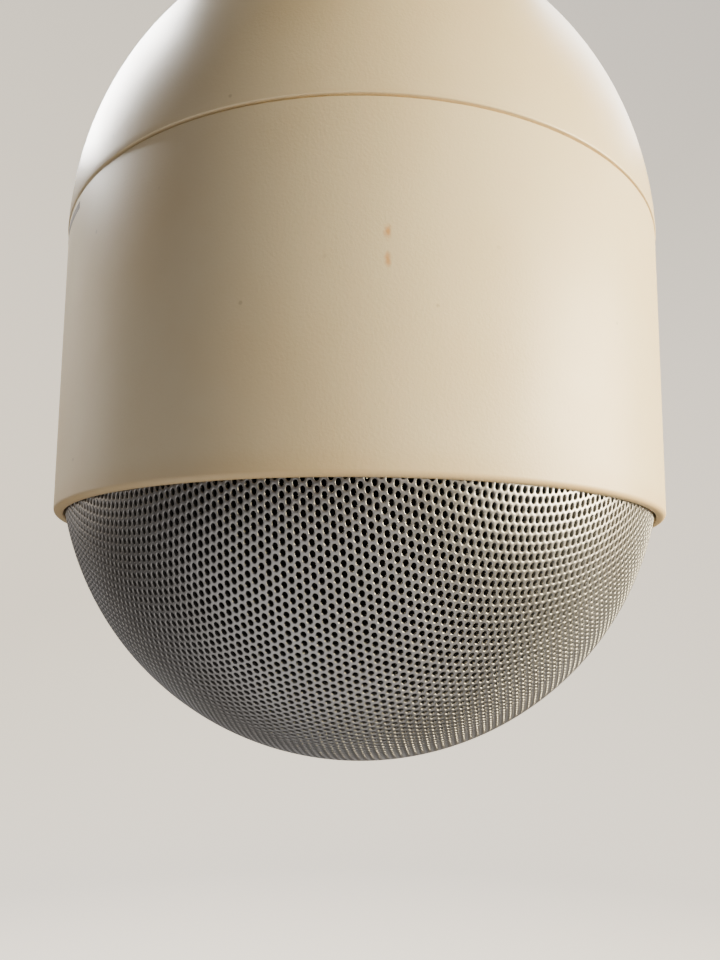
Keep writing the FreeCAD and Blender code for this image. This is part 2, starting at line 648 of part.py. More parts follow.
def transformer_bobbin():
    """Square tube with a flange at each end."""
    low, high = bobbin_span()
    wide, deep = bobbin_hub()
    hub = block(wide, deep, high - low, 0, TRANSFORMER_Y, low)
    flange_x = CORE_WIDTH - 2 * CORE_LEG
    flange_y = deep + 2 * WINDING_BULGE
    for z in (low, high - BOBBIN_WALL):
        hub = hub.fuse(block(flange_x, flange_y, BOBBIN_WALL, 0, TRANSFORMER_Y, z))
    return hub.cut(block(2 * CORE_LEG, CORE_STACK, high - low + 2, 0, TRANSFORMER_Y, low - 1))


def transformer_winding():
    """Taped coil on the bobbin."""
    low, high = bobbin_span()
    wide, deep = bobbin_hub()
    outer_x = CORE_WIDTH - 2 * CORE_LEG - 2 * HOLE_GAP
    outer_y = deep + 2 * WINDING_BULGE - 2 * WINDING_INSET
    tall = high - low - 2 * BOBBIN_WALL
    winding = block(outer_x, outer_y, tall, 0, TRANSFORMER_Y, low + BOBBIN_WALL)
    upright = [e for e in winding.Edges if e.BoundBox.ZLength > tall / 2]
    winding = winding.makeFillet(WINDING_BULGE / 2, upright)
    return winding.cut(block(wide, deep, tall + 2, 0, TRANSFORMER_Y, low))


def transformer_bracket():
    """A strap over the core with a foot on each side."""
    inner_x = CORE_WIDTH
    outer_x = CORE_WIDTH + 2 * BRACKET_SHEET
    top = core_bottom() + CORE_HEIGHT + BRACKET_SHEET
    strap = block(outer_x, CORE_STACK, top - BULKHEAD_TOP, 0, TRANSFORMER_Y, BULKHEAD_TOP)
    strap = strap.cut(block(inner_x, 2 * CORE_STACK, CORE_HEIGHT, 0, TRANSFORMER_Y, core_bottom()))
    feet = outer_x + 2 * BRACKET_FOOT
    strap = strap.fuse(block(feet, CORE_STACK, BRACKET_SHEET, 0, TRANSFORMER_Y, BULKHEAD_TOP))
    hole = SMALL_SCREW[0] + HOLE_GAP
    return drilled(strap, transformer_places(), hole, BULKHEAD_TOP - 1, BULKHEAD_TOP + 5).removeSplitter()


def transformer_places():
    """Screws of the transformer's two feet."""
    x = TRANSFORMER_FOOT - BRACKET_FOOT / 2
    return [(-x, TRANSFORMER_Y), (x, TRANSFORMER_Y)]


# ---- connections
def terminal_places():
    """Middle of each way of the terminal block."""
    pitch = TERMINAL_BLOCK_SIZE[0] / TERMINAL_WAYS
    return [((i - (TERMINAL_WAYS - 1) / 2) * pitch, TERMINAL_BLOCK_Y) for i in range(TERMINAL_WAYS)]


def terminal_block():
    """Moulded block with a screw well and a wire entry for each way."""
    wide, deep, tall = TERMINAL_BLOCK_SIZE
    body = block(wide, deep, tall, 0, TERMINAL_BLOCK_Y, BULKHEAD_TOP)
    top = BULKHEAD_TOP + tall
    for x, y in terminal_places():
        body = body.cut(disc(TERMINAL_WELL_RADIUS, top - TERMINAL_WELL_DEPTH, top + 1, x, y))
        body = body.cut(disc(SMALL_SCREW[0], BULKHEAD_TOP + TERMINAL_FLOOR, top, x, y))
        mouth = Vector(x, y - deep / 2 - 1, BULKHEAD_TOP + TERMINAL_ENTRY_HEIGHT)
        body = body.cut(Part.makeCylinder(TERMINAL_ENTRY_RADIUS, deep / 2, mouth, Vector(0, 1, 0)))
    slot_width, slot_depth = TERMINAL_SLOT
    for i in range(1, TERMINAL_WAYS):
        x = (i - TERMINAL_WAYS / 2) * wide / TERMINAL_WAYS
        body = body.cut(block(slot_width, deep + 2, slot_depth, x, TERMINAL_BLOCK_Y, top - slot_depth))
    return body


def terminal_screws():
    """One clamping screw in each way."""
    seat = BULKHEAD_TOP + TERMINAL_BLOCK_SIZE[2] - TERMINAL_WELL_DEPTH
    tip = BULKHEAD_TOP + TERMINAL_FLOOR + 1
    return group([screw(SMALL_SCREW, x, y, seat, tip) for x, y in terminal_places()])


def tap_switch_body():
    """Round switch under the bulkhead, with a bush through it and solder tags below."""
    x, y = SWITCH_X, SWITCH_Y
    body = disc(SWITCH_RADIUS, BULKHEAD_BOTTOM - SWITCH_DEPTH, BULKHEAD_BOTTOM, x, y)
    body = body.fuse(disc(SWITCH_BUSH_RADIUS, BULKHEAD_BOTTOM, BULKHEAD_TOP + SWITCH_BUSH_HEIGHT, x, y))
    bore = disc(SWITCH_SHAFT_RADIUS + SHAFT_GAP, shaft_bottom(), BULKHEAD_TOP + SWITCH_SHAFT_HEIGHT, x, y)
    body = body.cut(bore)
    thick, wide, tall = SWITCH_TAG
    for px, py in around(SWITCH_RADIUS - SWITCH_TAG_INSET, SWITCH_TAG_COUNT, 0):
        body = body.fuse(block(thick, wide, tall, x + px, y + py, BULKHEAD_BOTTOM - SWITCH_DEPTH - tall))
    return body


def shaft_bottom():
    """Height of the blind end of the shaft's bore."""
    return BULKHEAD_BOTTOM - SWITCH_DEPTH / 2


def tap_switch_shaft():
    """Shaft that the knob turns."""
    top = BULKHEAD_TOP + SWITCH_SHAFT_HEIGHT
    return disc(SWITCH_SHAFT_RADIUS, shaft_bottom() + SHAFT_GAP, top, SWITCH_X, SWITCH_Y)


def tap_switch_nut():
    """Nut on the switch's bush."""
    top = BULKHEAD_TOP + SWITCH_NUT_HEIGHT
    nut = hexagon(SWITCH_NUT_FLATS, BULKHEAD_TOP, top, SWITCH_X, SWITCH_Y)
    return nut.cut(disc(SWITCH_BUSH_RADIUS, BULKHEAD_TOP - 1, top + 1, SWITCH_X, SWITCH_Y))


def tap_knob():
    """Fluted knob with a pointer line, blind-bored for the shaft."""
    x, y = SWITCH_X, SWITCH_Y
    low = BULKHEAD_TOP + SWITCH_BUSH_HEIGHT + KNOB_CLEARANCE
    top = low + KNOB_HEIGHT
    knob = disc(KNOB_RADIUS, low, top, x, y)
    knob = knob.makeChamfer(KNOB_CHAMFER, [e for e in knob.Edges if abs(e.BoundBox.Center.z - top) < 0.01])
    for px, py in around(KNOB_RADIUS, KNOB_FLUTE_COUNT, 15):
        knob = knob.cut(disc(KNOB_FLUTE_RADIUS, low + KNOB_FLUTE_BASE, top + 1, x + px, y + py))
    pointer = block(POINTER_WIDTH, KNOB_RADIUS * 0.7, 1, x, y - KNOB_RADIUS * 0.45, top - POINTER_DEPTH)
    knob = knob.cut(pointer)
    return knob.cut(disc(SWITCH_SHAFT_RADIUS, low - 1, BULKHEAD_TOP + SWITCH_SHAFT_HEIGHT, x, y))


def capacitor():
    """Can with rounded ends and a rolled groove."""
    z = BULKHEAD_TOP + CAPACITOR_RADIUS
    along = Vector(1, 0, 0)
    start = Vector(CAPACITOR_X - CAPACITOR_LENGTH / 2, CAPACITOR_Y, z)
    can = Part.makeCylinder(CAPACITOR_RADIUS, CAPACITOR_LENGTH, start, along)
    wide_edges = [e for e in can.Edges if e.BoundBox.YLength > CAPACITOR_RADIUS]
    can = can.makeFillet(CAPACITOR_ROUND, [e for e in wide_edges if e.BoundBox.XLength < 1])
    bead = Part.makeTorus(CAPACITOR_RADIUS + 0.7, 1.4, start + along * CAPACITOR_BEAD, along)
    return can.cut(bead)


def clamp_screw_place():
    """Screw of the capacitor clamp's foot."""
    return (CAPACITOR_X, CAPACITOR_Y + CAPACITOR_RADIUS + CLAMP_SHEET + CLAMP_FOOT / 2)


def saddle(radius, length):
    """A half-round top on straight sides, lying along X over the capacitor."""
    z = BULKHEAD_TOP + CAPACITOR_RADIUS
    start = Vector(CAPACITOR_X - length / 2, CAPACITOR_Y, z)
    half_round = Part.makeCylinder(radius, length, start, Vector(1, 0, 0))
    sides = block(length, 2 * radius, CAPACITOR_RADIUS, CAPACITOR_X, CAPACITOR_Y, BULKHEAD_TOP)
    upper = block(length, 2 * radius, 2 * radius, CAPACITOR_X, CAPACITOR_Y, z)
    return half_round.common(upper).fuse(sides)


def capacitor_clamp():
    """A strap over the capacitor with one screwed foot."""
    strap = saddle(CAPACITOR_RADIUS + CLAMP_SHEET, CLAMP_WIDTH).cut(saddle(CAPACITOR_RADIUS, 2 * CLAMP_WIDTH))
    inner_y = CAPACITOR_Y + CAPACITOR_RADIUS
    length = CLAMP_SHEET + CLAMP_FOOT
    foot = block(CLAMP_WIDTH, length, CLAMP_SHEET, CAPACITOR_X, inner_y + length / 2, BULKHEAD_TOP)
    strap = strap.fuse(foot)
    x, y = clamp_screw_place()
    strap = strap.cut(disc(SMALL_SCREW[0] + HOLE_GAP, BULKHEAD_TOP - 1, BULKHEAD_TOP + 5, x, y))
    return strap.removeSplitter()


# ---- wires
def speaker_leads():
    """Two wires from the driver's tabs, up through the grommet, to the transformer's bobbin."""
    gx, gy = grommet_place()
    low, high = bobbin_span()
    wires = []
    for side in (-1, 1):
        x, y = beside(gx, gy, side)
        sx, sy = strip_tab(side)
        entry_y = TRANSFORMER_Y + side * WIRE_SPACING
        beside_core = -CORE_WIDTH / 2 - BRACKET_SHEET - WIRE_RADIUS - WIRE_CLEARANCE
        points = [
            (sx, sy, strip_top()),
            (sx, sy, strip_top() + 9),
            (x, y, strip_top() + 18),
            (x, y, BULKHEAD_TOP + 12),
            (x * 0.9, entry_y, BULKHEAD_TOP + 24),
            (beside_core, entry_y, high - 6),
        ]
        wires.append(tube_along(points, WIRE_RADIUS))
    return group(wires)


def line_wires():
    """Two wires over the bulkhead, from the line terminals to the transformer."""
    z = BULKHEAD_TOP + WIRE_RADIUS + WIRE_CLEARANCE - 0.1
    back = TRANSFORMER_Y - bobbin_hub()[1] / 2 - WINDING_BULGE - WIRE_RADIUS - 2 * WIRE_CLEARANCE
    low = bobbin_span()[0]
    entry = BULKHEAD_TOP + TERMINAL_ENTRY_HEIGHT
    wires = []
    for x, y in terminal_places()[:2]:
        front = TERMINAL_BLOCK_Y + TERMINAL_BLOCK_SIZE[1] / 2
        points = [
            (x, front, entry),
            (x, front + 8, entry),
            (x * 0.8 + 2, front + 20, z),
            (x * 0.6, back - 12, z),
            (x * 0.5, back, z + 6),
            (x * 0.5, back, low + 8),
        ]
        wires.append(tube_along(points, WIRE_RADIUS))
    return group(wires)


# ---- grille and baffle
def grille_sphere():
    """Radius and centre height of the ball that the grille follows below the rim."""
    radius = (GRILLE_RADIUS ** 2 + GRILLE_DROP ** 2) / (2 * GRILLE_DROP)
    return radius, radius - GRILLE_DROP


def grille_body(offset, top):
    """The solid under a height that follows the grille, drawn in by an offset."""
    radius, centre = grille_sphere()
    ball = Part.makeSphere(radius - offset, Vector(0, 0, centre))
    floor = -2 * GRILLE_DROP
    bowl = ball.common(disc(2 * GRILLE_RADIUS, floor, min(top, 0)))
    if top <= 0:
        return bowl
    return bowl.fuse(disc(GRILLE_RADIUS - offset, 0, top))


def grille():
    """Pressed sheet: ball, straight skirt and an inward flange. Its perforation is surface finish."""
    skin = grille_body(0, SKIRT_HEIGHT).cut(grille_body(GRILLE_THICKNESS, SKIRT_HEIGHT + 1))
    flange = ring(GRILLE_RADIUS, FLANGE_INNER, FLANGE_BOTTOM, FLANGE_TOP)
    solid = skin.fuse(flange).removeSplitter()
    return drilled(solid, clamp_places(), BODY_SCREW[0] + HOLE_GAP, FLANGE_BOTTOM - 1, FLANGE_TOP + 1)


def grille_foam():
    """Foam liner inside the ball."""
    outer = grille_body(GRILLE_THICKNESS + FOAM_GAP, FOAM_TOP)
    inner = grille_body(GRILLE_THICKNESS + FOAM_GAP + FOAM_THICKNESS, FOAM_TOP + 1)
    return outer.cut(inner)


def grille_retaining_ring():
    """Tapped ring that the clamping screws pull against the flange."""
    outer = GRILLE_RADIUS - GRILLE_THICKNESS - FOAM_GAP
    body = ring(outer, FLANGE_INNER, FLANGE_BOTTOM - RING_THICKNESS, FLANGE_BOTTOM)
    return drilled(body, clamp_places(), BODY_SCREW[0], 0, FLANGE_TOP)


def baffle():
    """Board that carries the driver."""
    body = ring(BAFFLE_RADIUS, CUTOUT_RADIUS, BAFFLE_BOTTOM, BAFFLE_TOP)
    body = drilled(body, clamp_places(), BODY_SCREW[0] + HOLE_GAP, BAFFLE_BOTTOM - 1, BAFFLE_TOP + 1)
    return drilled(body, driver_places(), SMALL_SCREW[0], BAFFLE_BOTTOM - 1, BAFFLE_TOP + 1)


# ---- driver
def driver_places():
    """Screws of the driver's flange."""
    return around(DRIVER_SCREW_CIRCLE, DRIVER_SCREW_COUNT, 0)


def driver_gasket():
    """Ring between the driver and the baffle."""
    body = ring(DRIVER_RADIUS, CUTOUT_RADIUS, DRIVER_FACE, BAFFLE_BOTTOM)
    return drilled(body, driver_places(), SMALL_SCREW[0] + HOLE_GAP, DRIVER_FACE - 1, BAFFLE_BOTTOM + 1)


def driver_basket():
    """Pressed steel: flange, open conical wall, spider shelf and rear plate."""
    t = BASKET_SHEET
    face = DRIVER_FACE
    shelf = SPIDER_Z + t
    body = turned([
        (SURROUND_OUTER - 5, face - t), (DRIVER_RADIUS, face - t), (DRIVER_RADIUS, face),
        (BASKET_WALL_RADIUS, face), (BASKET_REAR_RADIUS + t, shelf), (SPIDER_SHELF_RADIUS, shelf),
        (SPIDER_SHELF_RADIUS, BASKET_REAR), (GAP_RADIUS + t, BASKET_REAR), (GAP_RADIUS + t, BASKET_REAR - t),
        (SPIDER_SHELF_RADIUS - t, BASKET_REAR - t), (SPIDER_SHELF_RADIUS - t, SPIDER_Z),
        (BASKET_REAR_RADIUS, SPIDER_Z), (BASKET_WALL_RADIUS - t, face), (SURROUND_OUTER - 5, face),
    ])
    low, high = face + WINDOW_MARGIN, SPIDER_Z - WINDOW_MARGIN + 1
    axis = Vector(0, 0, 1)
    for i in range(BASKET_WINDOWS):
        hoop = ring(DRIVER_RADIUS, BASKET_REAR_RADIUS - 3, low, high)
        wedge = Part.makeCylinder(2 * DRIVER_RADIUS, high - low + 2, Vector(0, 0, low - 1), axis, WINDOW_SPAN)
        wedge.rotate(Vector(0, 0, 0), axis, i * 360.0 / BASKET_WINDOWS - WINDOW_SPAN / 2)
        body = body.cut(hoop.common(wedge))
    return drilled(body, driver_places(), SMALL_SCREW[0] + HOLE_GAP, face - 5, face + 1)


def magnet_top_plate():
    """Front plate of the magnet, round the voice coil."""
    return ring(TOP_PLATE_RADIUS, GAP_RADIUS, TOP_PLATE_Z, MAGNET_Z)


def magnet_ring():
    """Ferrite ring."""
    return ring(MAGNET_RADIUS, MAGNET_BORE_RADIUS, MAGNET_Z, BACK_PLATE_Z)


def magnet_back_plate():
    """Back plate with its pole."""
    plate = disc(BACK_PLATE_RADIUS, BACK_PLATE_Z, BACK_PLATE_TOP)
    return plate.fuse(disc(POLE_RADIUS, TOP_PLATE_Z, BACK_PLATE_TOP)).removeSplitter()


def cone():
    """Paper cone from the surround to the former, with a flat edge for the surround's glue."""
    t = CONE_THICKNESS
    edge = SURROUND_INNER
    neck = COIL_RADIUS + FORMER_THICKNESS
    return turned([
        (edge + CONE_LAP, CONE_FRONT), (edge + CONE_LAP, CONE_FRONT + t), (edge, CONE_FRONT + t),
        (neck, CONE_NECK + t), (neck, CONE_NECK), (edge - t, CONE_FRONT),
    ])


def cone_height(radius):
    """Height of the cone's front face at a radius."""
    edge = SURROUND_INNER - CONE_THICKNESS
    neck = COIL_RADIUS + FORMER_THICKNESS
    return CONE_FRONT + CONE_DEPTH * (edge - radius) / (edge - neck)


def dust_cap():
    """Domed cap glued to the front of the cone."""
    base = cone_height(DUST_CAP_RADIUS) - 0.1
    radius = (DUST_CAP_RADIUS ** 2 + DUST_CAP_RISE ** 2) / (2 * DUST_CAP_RISE)
    centre = Vector(0, 0, base - DUST_CAP_RISE + radius)
    shell = Part.makeSphere(radius, centre).cut(Part.makeSphere(radius - DUST_CAP_THICKNESS, centre))
    return shell.common(disc(2 * DUST_CAP_RADIUS, base - 2 * DUST_CAP_RISE, base - 0.1))


def voice_coil_former():
    """Thin tube that carries the winding."""
    top = TOP_PLATE_Z + TOP_PLATE_THICKNESS / 2 + WINDING_HEIGHT / 2 + 0.5
    return ring(COIL_RADIUS + FORMER_THICKNESS, COIL_RADIUS, CONE_NECK - 1, top)


def voice_coil_winding():
    """Winding in the magnet's gap."""
    middle = TOP_PLATE_Z + TOP_PLATE_THICKNESS / 2
    outer = COIL_RADIUS + FORMER_THICKNESS + WINDING_THICKNESS
    half = WINDING_HEIGHT / 2
    return ring(outer, COIL_RADIUS + FORMER_THICKNESS, middle - half, middle + half)


def surround():
    """Half-roll between the cone's edge and the basket flange, bulging to the front."""
    t = SURROUND_THICKNESS
    edge = SURROUND_INNER + CONE_LAP
    rim = SURROUND_OUTER
    inner_foot = edge - CONE_LAP / 2
    outer_foot = SURROUND_OUTER - SURROUND_FOOT
    middle = (edge + outer_foot) / 2
    roll = (outer_foot - edge) / 2
    top = CONE_FRONT
    hoop = Part.makeTorus(middle, roll + t / 2, Vector(0, 0, top - t))
    hoop = hoop.cut(Part.makeTorus(middle, roll - t / 2, Vector(0, 0, top - t)))
    hoop = hoop.common(disc(2 * rim, top - 3 * roll, top - t / 2))
    feet = [ring(edge + t / 2, inner_foot, top - t, top), ring(rim, outer_foot - t / 2, top - t, top)]
    return hoop.fuse(feet).removeSplitter()


def spider():
    """Corrugated cloth disc between the former and the spider shelf."""
    inner = COIL_RADIUS + FORMER_THICKNESS
    outer = BASKET_REAR_RADIUS - 0.5
    top = SPIDER_Z
    wave_end = SPIDER_SHELF_RADIUS - 1
    steps = 8 * SPIDER_WAVES
    span = wave_end - inner - SPIDER_FLAT
    crest = []
    for i in range(steps + 1):
        phase = 2 * math.pi * SPIDER_WAVES * i / steps
        drop = SPIDER_WAVE_HEIGHT * (1 - math.cos(phase))
        crest.append(Vector(inner + SPIDER_FLAT + span * i / steps, 0, top - drop))
    down = Vector(0, 0, -SPIDER_THICKNESS)
    upper = Part.BSplineCurve()
    upper.interpolate(crest)
    lower = Part.BSplineCurve()
    lower.interpolate([p + down for p in crest])
    first, last = crest[0], crest[-1]
    start = Vector(inner, 0, first.z)
    finish = Vector(outer, 0, last.z)
    edges = [
        Part.makeLine(start, first), upper.toShape(), Part.makeLine(last, finish),
        Part.makeLine(finish, finish + down), Part.makeLine(finish + down, last + down), lower.toShape(),
        Part.makeLine(first + down, start + down), Part.makeLine(start + down, start),
    ]
    face = Part.Face(Part.Wire(Part.__sortEdges__(edges)))
    return face.revolve(Vector(0, 0, 0), Vector(0, 0, 1), 360)


def strip_radius():
    """Distance from the axis to the terminal strip's inner face, clear of the basket wall."""
    return BASKET_WALL_RADIUS - STRIP_INSET


def strip_bottom():
    """Height of the terminal strip's lower edge."""
    return DRIVER_FACE + STRIP_LIFT


def strip_top():
    """Height of the terminal strip's upper edge."""
    return strip_bottom() + STRIP_HEIGHT


def turned_to_strip(shape):
    """A shape made along +X, turned to the strip's direction."""
    shape.rotate(Vector(0, 0, 0), Vector(0, 0, 1), STRIP_ANGLE)
    return shape


def strip_tab(side):
    """Foot of one speaker lead, on the terminal strip."""
    radius = strip_radius() + STRIP_THICKNESS / 2
    angle = math.radians(STRIP_ANGLE)
    step = side * TERMINAL_SPACING / 2
    return (
        radius * math.cos(angle) - step * math.sin(angle),
        radius * math.sin(angle) + step * math.cos(angle),
    )


def driver_terminal_strip():
    """Phenolic strip with two solder tabs, riveted to a basket leg."""
    x = strip_radius() + STRIP_THICKNESS / 2
    board = block(STRIP_THICKNESS, STRIP_WIDTH, STRIP_HEIGHT, x, 0, strip_bottom())
    inner = BASKET_REAR_RADIUS
    outer = strip_radius() + STRIP_THICKNESS
    web = block(outer - inner, STRIP_WEB_WIDTH, STRIP_THICKNESS, (inner + outer) / 2, 0, strip_bottom())
    depth = SPIDER_Z + BASKET_SHEET - DRIVER_FACE
    rear = BASKET_REAR_RADIUS + BASKET_SHEET
    wall = Part.makeCone(BASKET_WALL_RADIUS, rear, depth, Vector(0, 0, DRIVER_FACE))
    return turned_to_strip(board.fuse(web).cut(wall).removeSplitter())


def tinsel_leads():
    """Two braided leads from the back of the cone, through the basket's windows, to the strip."""
    start = TINSEL_CONTACT
    far = BASKET_WALL_RADIUS - TINSEL_INSET
    middle = start + (far - start) * 12 / 23
    low = cone_height(start) + CONE_THICKNESS + 2 * TINSEL_RADIUS
    high = low + TINSEL_RISE
    leads = []
    for side in (-1, 1):
        stops = [(start, 26, low), (middle, 24, high), (far, 21, high)]
        points = [polar(radius, STRIP_ANGLE + side * turn, height) for radius, turn, height in stops]
        tab_x, tab_y = strip_tab(side)
        tab_radius = math.hypot(tab_x, tab_y)
        reach = 1 + (STRIP_THICKNESS / 2 + TINSEL_RADIUS + 0.1) / tab_radius
        points.append(polar(tab_radius + 3, STRIP_ANGLE + side * 14, high))
        points.append((tab_x * reach, tab_y * reach, high))
        leads.append(tube_along(points, TINSEL_RADIUS))
    return group(leads)


def polar(radius, degrees, height):
    """A point from its distance, direction and height."""
    angle = math.radians(degrees)
    return (radius * math.cos(angle), radius * math.sin(angle), height)


# ---- soft filling
def damping_wadding():
    """Ring of polyester fibre against the body's wall."""
    low = LAND_TOP + WADDING_MARGIN
    high = SHELF_BOTTOM - SHELF_WIDTH / 2 - WADDING_MARGIN / 2
    outer = bore_radius(low) - 1
    return ring(outer, outer - WADDING_THICKNESS, low, high)


def make_all():
    """Every node of the loudspeaker, by name."""
    parts["lower_shell"] = lower_shell()
    parts["dome_cover"] = dome_cover()
    parts["top_hub"] = top_hub()
    parts["eye_bolt"] = eye_bolt()
    parts["eye_washers"] = eye_washers()
    parts["eye_locknut"] = eye_locknut()
    parts["suspension_yoke"] = suspension_yoke()
    tip = BULKHEAD_BOTTOM - SCREW_REACH
    seat = BULKHEAD_TOP + YOKE_THICKNESS
    parts["yoke_screws"] = group([screw(SMALL_SCREW, x, y, seat, tip) for x, y in yoke_places()])
    parts["gland_body"] = gland_body()
    parts["gland_seal"] = gland_seal()
    parts["gland_cap"] = gland_cap()
    parts["gland_locknut"] = gland_locknut()
    parts["rear_bulkhead"] = rear_bulkhead()
    parts["bulkhead_gasket"] = bulkhead_gasket()
    parts["bulkhead_screws"] = group([
        screw(BODY_SCREW, x, y, BULKHEAD_TOP, SHELF_BOTTOM - 2) for x, y in bulkhead_places()
    ])
    parts["lead_grommet"] = lead_grommet()
    parts["transformer_core"] = transformer_core()
    parts["transformer_bobbin"] = transformer_bobbin()
    parts["transformer_winding"] = transformer_winding()
    parts["transformer_bracket"] = transformer_bracket()
    seat = BULKHEAD_TOP + BRACKET_SHEET
    parts["transformer_screws"] = group([
        screw(SMALL_SCREW, x, y, seat, tip) for x, y in transformer_places()
    ])
    parts["terminal_block"] = terminal_block()
    parts["terminal_screws"] = terminal_screws()
    parts["tap_switch_body"] = tap_switch_body()
    parts["tap_switch_nut"] = tap_switch_nut()
    parts["tap_switch_shaft"] = tap_switch_shaft()
    parts["tap_knob"] = tap_knob()
    parts["capacitor"] = capacitor()
    parts["capacitor_clamp"] = capacitor_clamp()
    x, y = clamp_screw_place()
    parts["clamp_screw"] = screw(SMALL_SCREW, x, y, BULKHEAD_TOP + CLAMP_SHEET, tip)
    parts["speaker_leads"] = speaker_leads()
    parts["line_wires"] = line_wires()
    parts["grille"] = grille()
    parts["grille_foam"] = grille_foam()
    parts["grille_retaining_ring"] = grille_retaining_ring()
    parts["baffle"] = baffle()
    tip = FLANGE_BOTTOM - RING_THICKNESS - 1
    parts["baffle_screws"] = group([screw(BODY_SCREW, x, y, LAND_TOP, tip) for x, y in clamp_places()])
    parts["driver_gasket"] = driver_gasket()
    parts["driver_basket"] = driver_basket()
    seat = DRIVER_FACE - BASKET_SHEET
    parts["driver_screws"] = group([
        screw(SMALL_SCREW, x, y, seat, BAFFLE_TOP - 1, up=False) for x, y in driver_places()
    ])
    parts["magnet_top_plate"] = magnet_top_plate()
    parts["magnet_ring"] = magnet_ring()
    parts["magnet_back_plate"] = magnet_back_plate()
    parts["driver_terminal_strip"] = driver_terminal_strip()
    parts["tinsel_leads"] = tinsel_leads()
    parts["surround"] = surround()
    parts["spider"] = spider()
    parts["cone"] = cone()
    parts["dust_cap"] = dust_cap()
    parts["voice_coil_former"] = voice_coil_former()
    parts["voice_coil_winding"] = voice_coil_winding()
    parts["damping_wadding"] = damping_wadding()


os.makedirs("parts", exist_ok=True)
make_all()
for name, shape in parts.items():
    shape.translate(Vector(0, 0, -EYE_Z))
    shape.exportStep(f"parts/{name}.step")
    count = len(shape.Solids)
    print(f"{name}: {count} solid(s), valid {shape.isValid()}, volume {shape.Volume:.1f} mm3")
print(f"eye above the rim {EYE_Z:.3f}, crown {CROWN_Z:.1f}, yoke top {YOKE_TOP:.2f}")
print(f"gland seat {gland_seat():.2f}, gland grip {gland_grip():.2f}")
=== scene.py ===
"""Looks of a pendant ceiling loudspeaker: aged ABS shells, a perforated steel grille and its inner parts."""

from __future__ import annotations

import logging
import math
from dataclasses import dataclass, field
from enum import Enum
from typing import Any, Sequence

import bmesh
import bpy
import numpy as np
from mathutils import Matrix, Vector

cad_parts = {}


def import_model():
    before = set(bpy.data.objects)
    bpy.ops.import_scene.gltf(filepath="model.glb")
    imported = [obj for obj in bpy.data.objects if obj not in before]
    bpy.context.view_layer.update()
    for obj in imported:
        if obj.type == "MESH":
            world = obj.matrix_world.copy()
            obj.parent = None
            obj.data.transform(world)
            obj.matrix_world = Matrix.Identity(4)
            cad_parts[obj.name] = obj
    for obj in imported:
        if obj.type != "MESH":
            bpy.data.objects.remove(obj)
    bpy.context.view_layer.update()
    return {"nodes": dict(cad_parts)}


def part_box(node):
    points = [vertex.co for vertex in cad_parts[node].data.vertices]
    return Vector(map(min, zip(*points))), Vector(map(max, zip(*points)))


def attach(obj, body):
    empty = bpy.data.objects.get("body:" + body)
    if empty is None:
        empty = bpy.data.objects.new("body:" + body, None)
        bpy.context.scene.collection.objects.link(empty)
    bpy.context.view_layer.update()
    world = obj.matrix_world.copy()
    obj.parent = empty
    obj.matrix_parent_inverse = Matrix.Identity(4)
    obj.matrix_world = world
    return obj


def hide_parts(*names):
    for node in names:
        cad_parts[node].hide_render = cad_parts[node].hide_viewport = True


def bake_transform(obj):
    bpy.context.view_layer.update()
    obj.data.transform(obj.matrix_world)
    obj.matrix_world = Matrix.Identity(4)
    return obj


MM = 0.001
LOG = logging.getLogger("loudspeaker")
Point = tuple[float, float]
Tree = bpy.types.NodeTree
Node = bpy.types.Node
Socket = bpy.types.NodeSocket
Piece = bpy.types.Object


class Metal(Enum):
    """Bare and plated metals, each with its surface colour."""

    ZINC = "#B9BCBF"
    STEEL = "#8D8A86"
    BRASS = "#C9A562"
    COPPER = "#B4673F"
    ALUMINIUM = "#C8CACC"
    SILVER = "#B9B6AE"


def linear(hex_colour: str) -> tuple[float, float, float, float]:
    """Turns an sRGB hex colour into linear RGBA.

    Args:
        hex_colour: A colour such as "#C8BFA6".

    Returns:
        The colour as four linear numbers, with an alpha of 1.
    """
    parts = [int(hex_colour[i:i + 2], 16) / 255 for i in (1, 3, 5)]
    r, g, b = [c / 12.92 if c <= 0.04045 else ((c + 0.055) / 1.055) ** 2.4 for c in parts]
    return (r, g, b, 1.0)


def add_node(tree: Tree, kind: str, inputs: dict[Any, Any] | None = None, **settings: Any) -> Node:
    """Adds one shader node with its settings and links.

    Args:
        tree: The node tree of a material.
        kind: The node's type, without the leading "ShaderNode".
        inputs: Socket name or number to a value, or to the output socket that feeds it.
        settings: The node's own properties.

    Returns:
        The new node.
    """
    node = tree.nodes.new("ShaderNode" + kind)
    for key, value in settings.items():
        setattr(node, key, value)
    for key, value in (inputs or {}).items():
        if isinstance(value, Socket):
            tree.links.new(value, node.inputs[key])
        else:
            node.inputs[key].default_value = value
    return node


def ramp(tree: Tree, value: Socket, low: float, high: float, to_low: float = 0.0, to_high: float = 1.0,
         **settings: Any) -> Socket:
    """Maps the range from low to high onto the range from to_low to to_high, and returns the mapped value."""
    ends = {"Value": value, "From Min": low, "From Max": high, "To Min": to_low, "To Max": to_high}
    return add_node(tree, "MapRange", ends, **settings).outputs[0]


def blended(tree: Tree, share: Socket, first: Any, second: Any) -> Socket:
    """Mixes two colours, with share as the second one's part, and returns the mix."""
    return add_node(tree, "Mix", {0: share, 6: first, 7: second}, data_type="RGBA").outputs[2]


def noise(tree: Tree, place: Socket, scale: float, detail: float, roughness: float = 0.5) -> Socket:
    """Makes a cloudy texture and returns its height, from 0 to 1."""
    inputs = {"Vector": place, "Scale": scale, "Detail": detail, "Roughness": roughness}
    return add_node(tree, "TexNoise", inputs).outputs["Fac"]


# ---------------------------------------------------------------- finishes


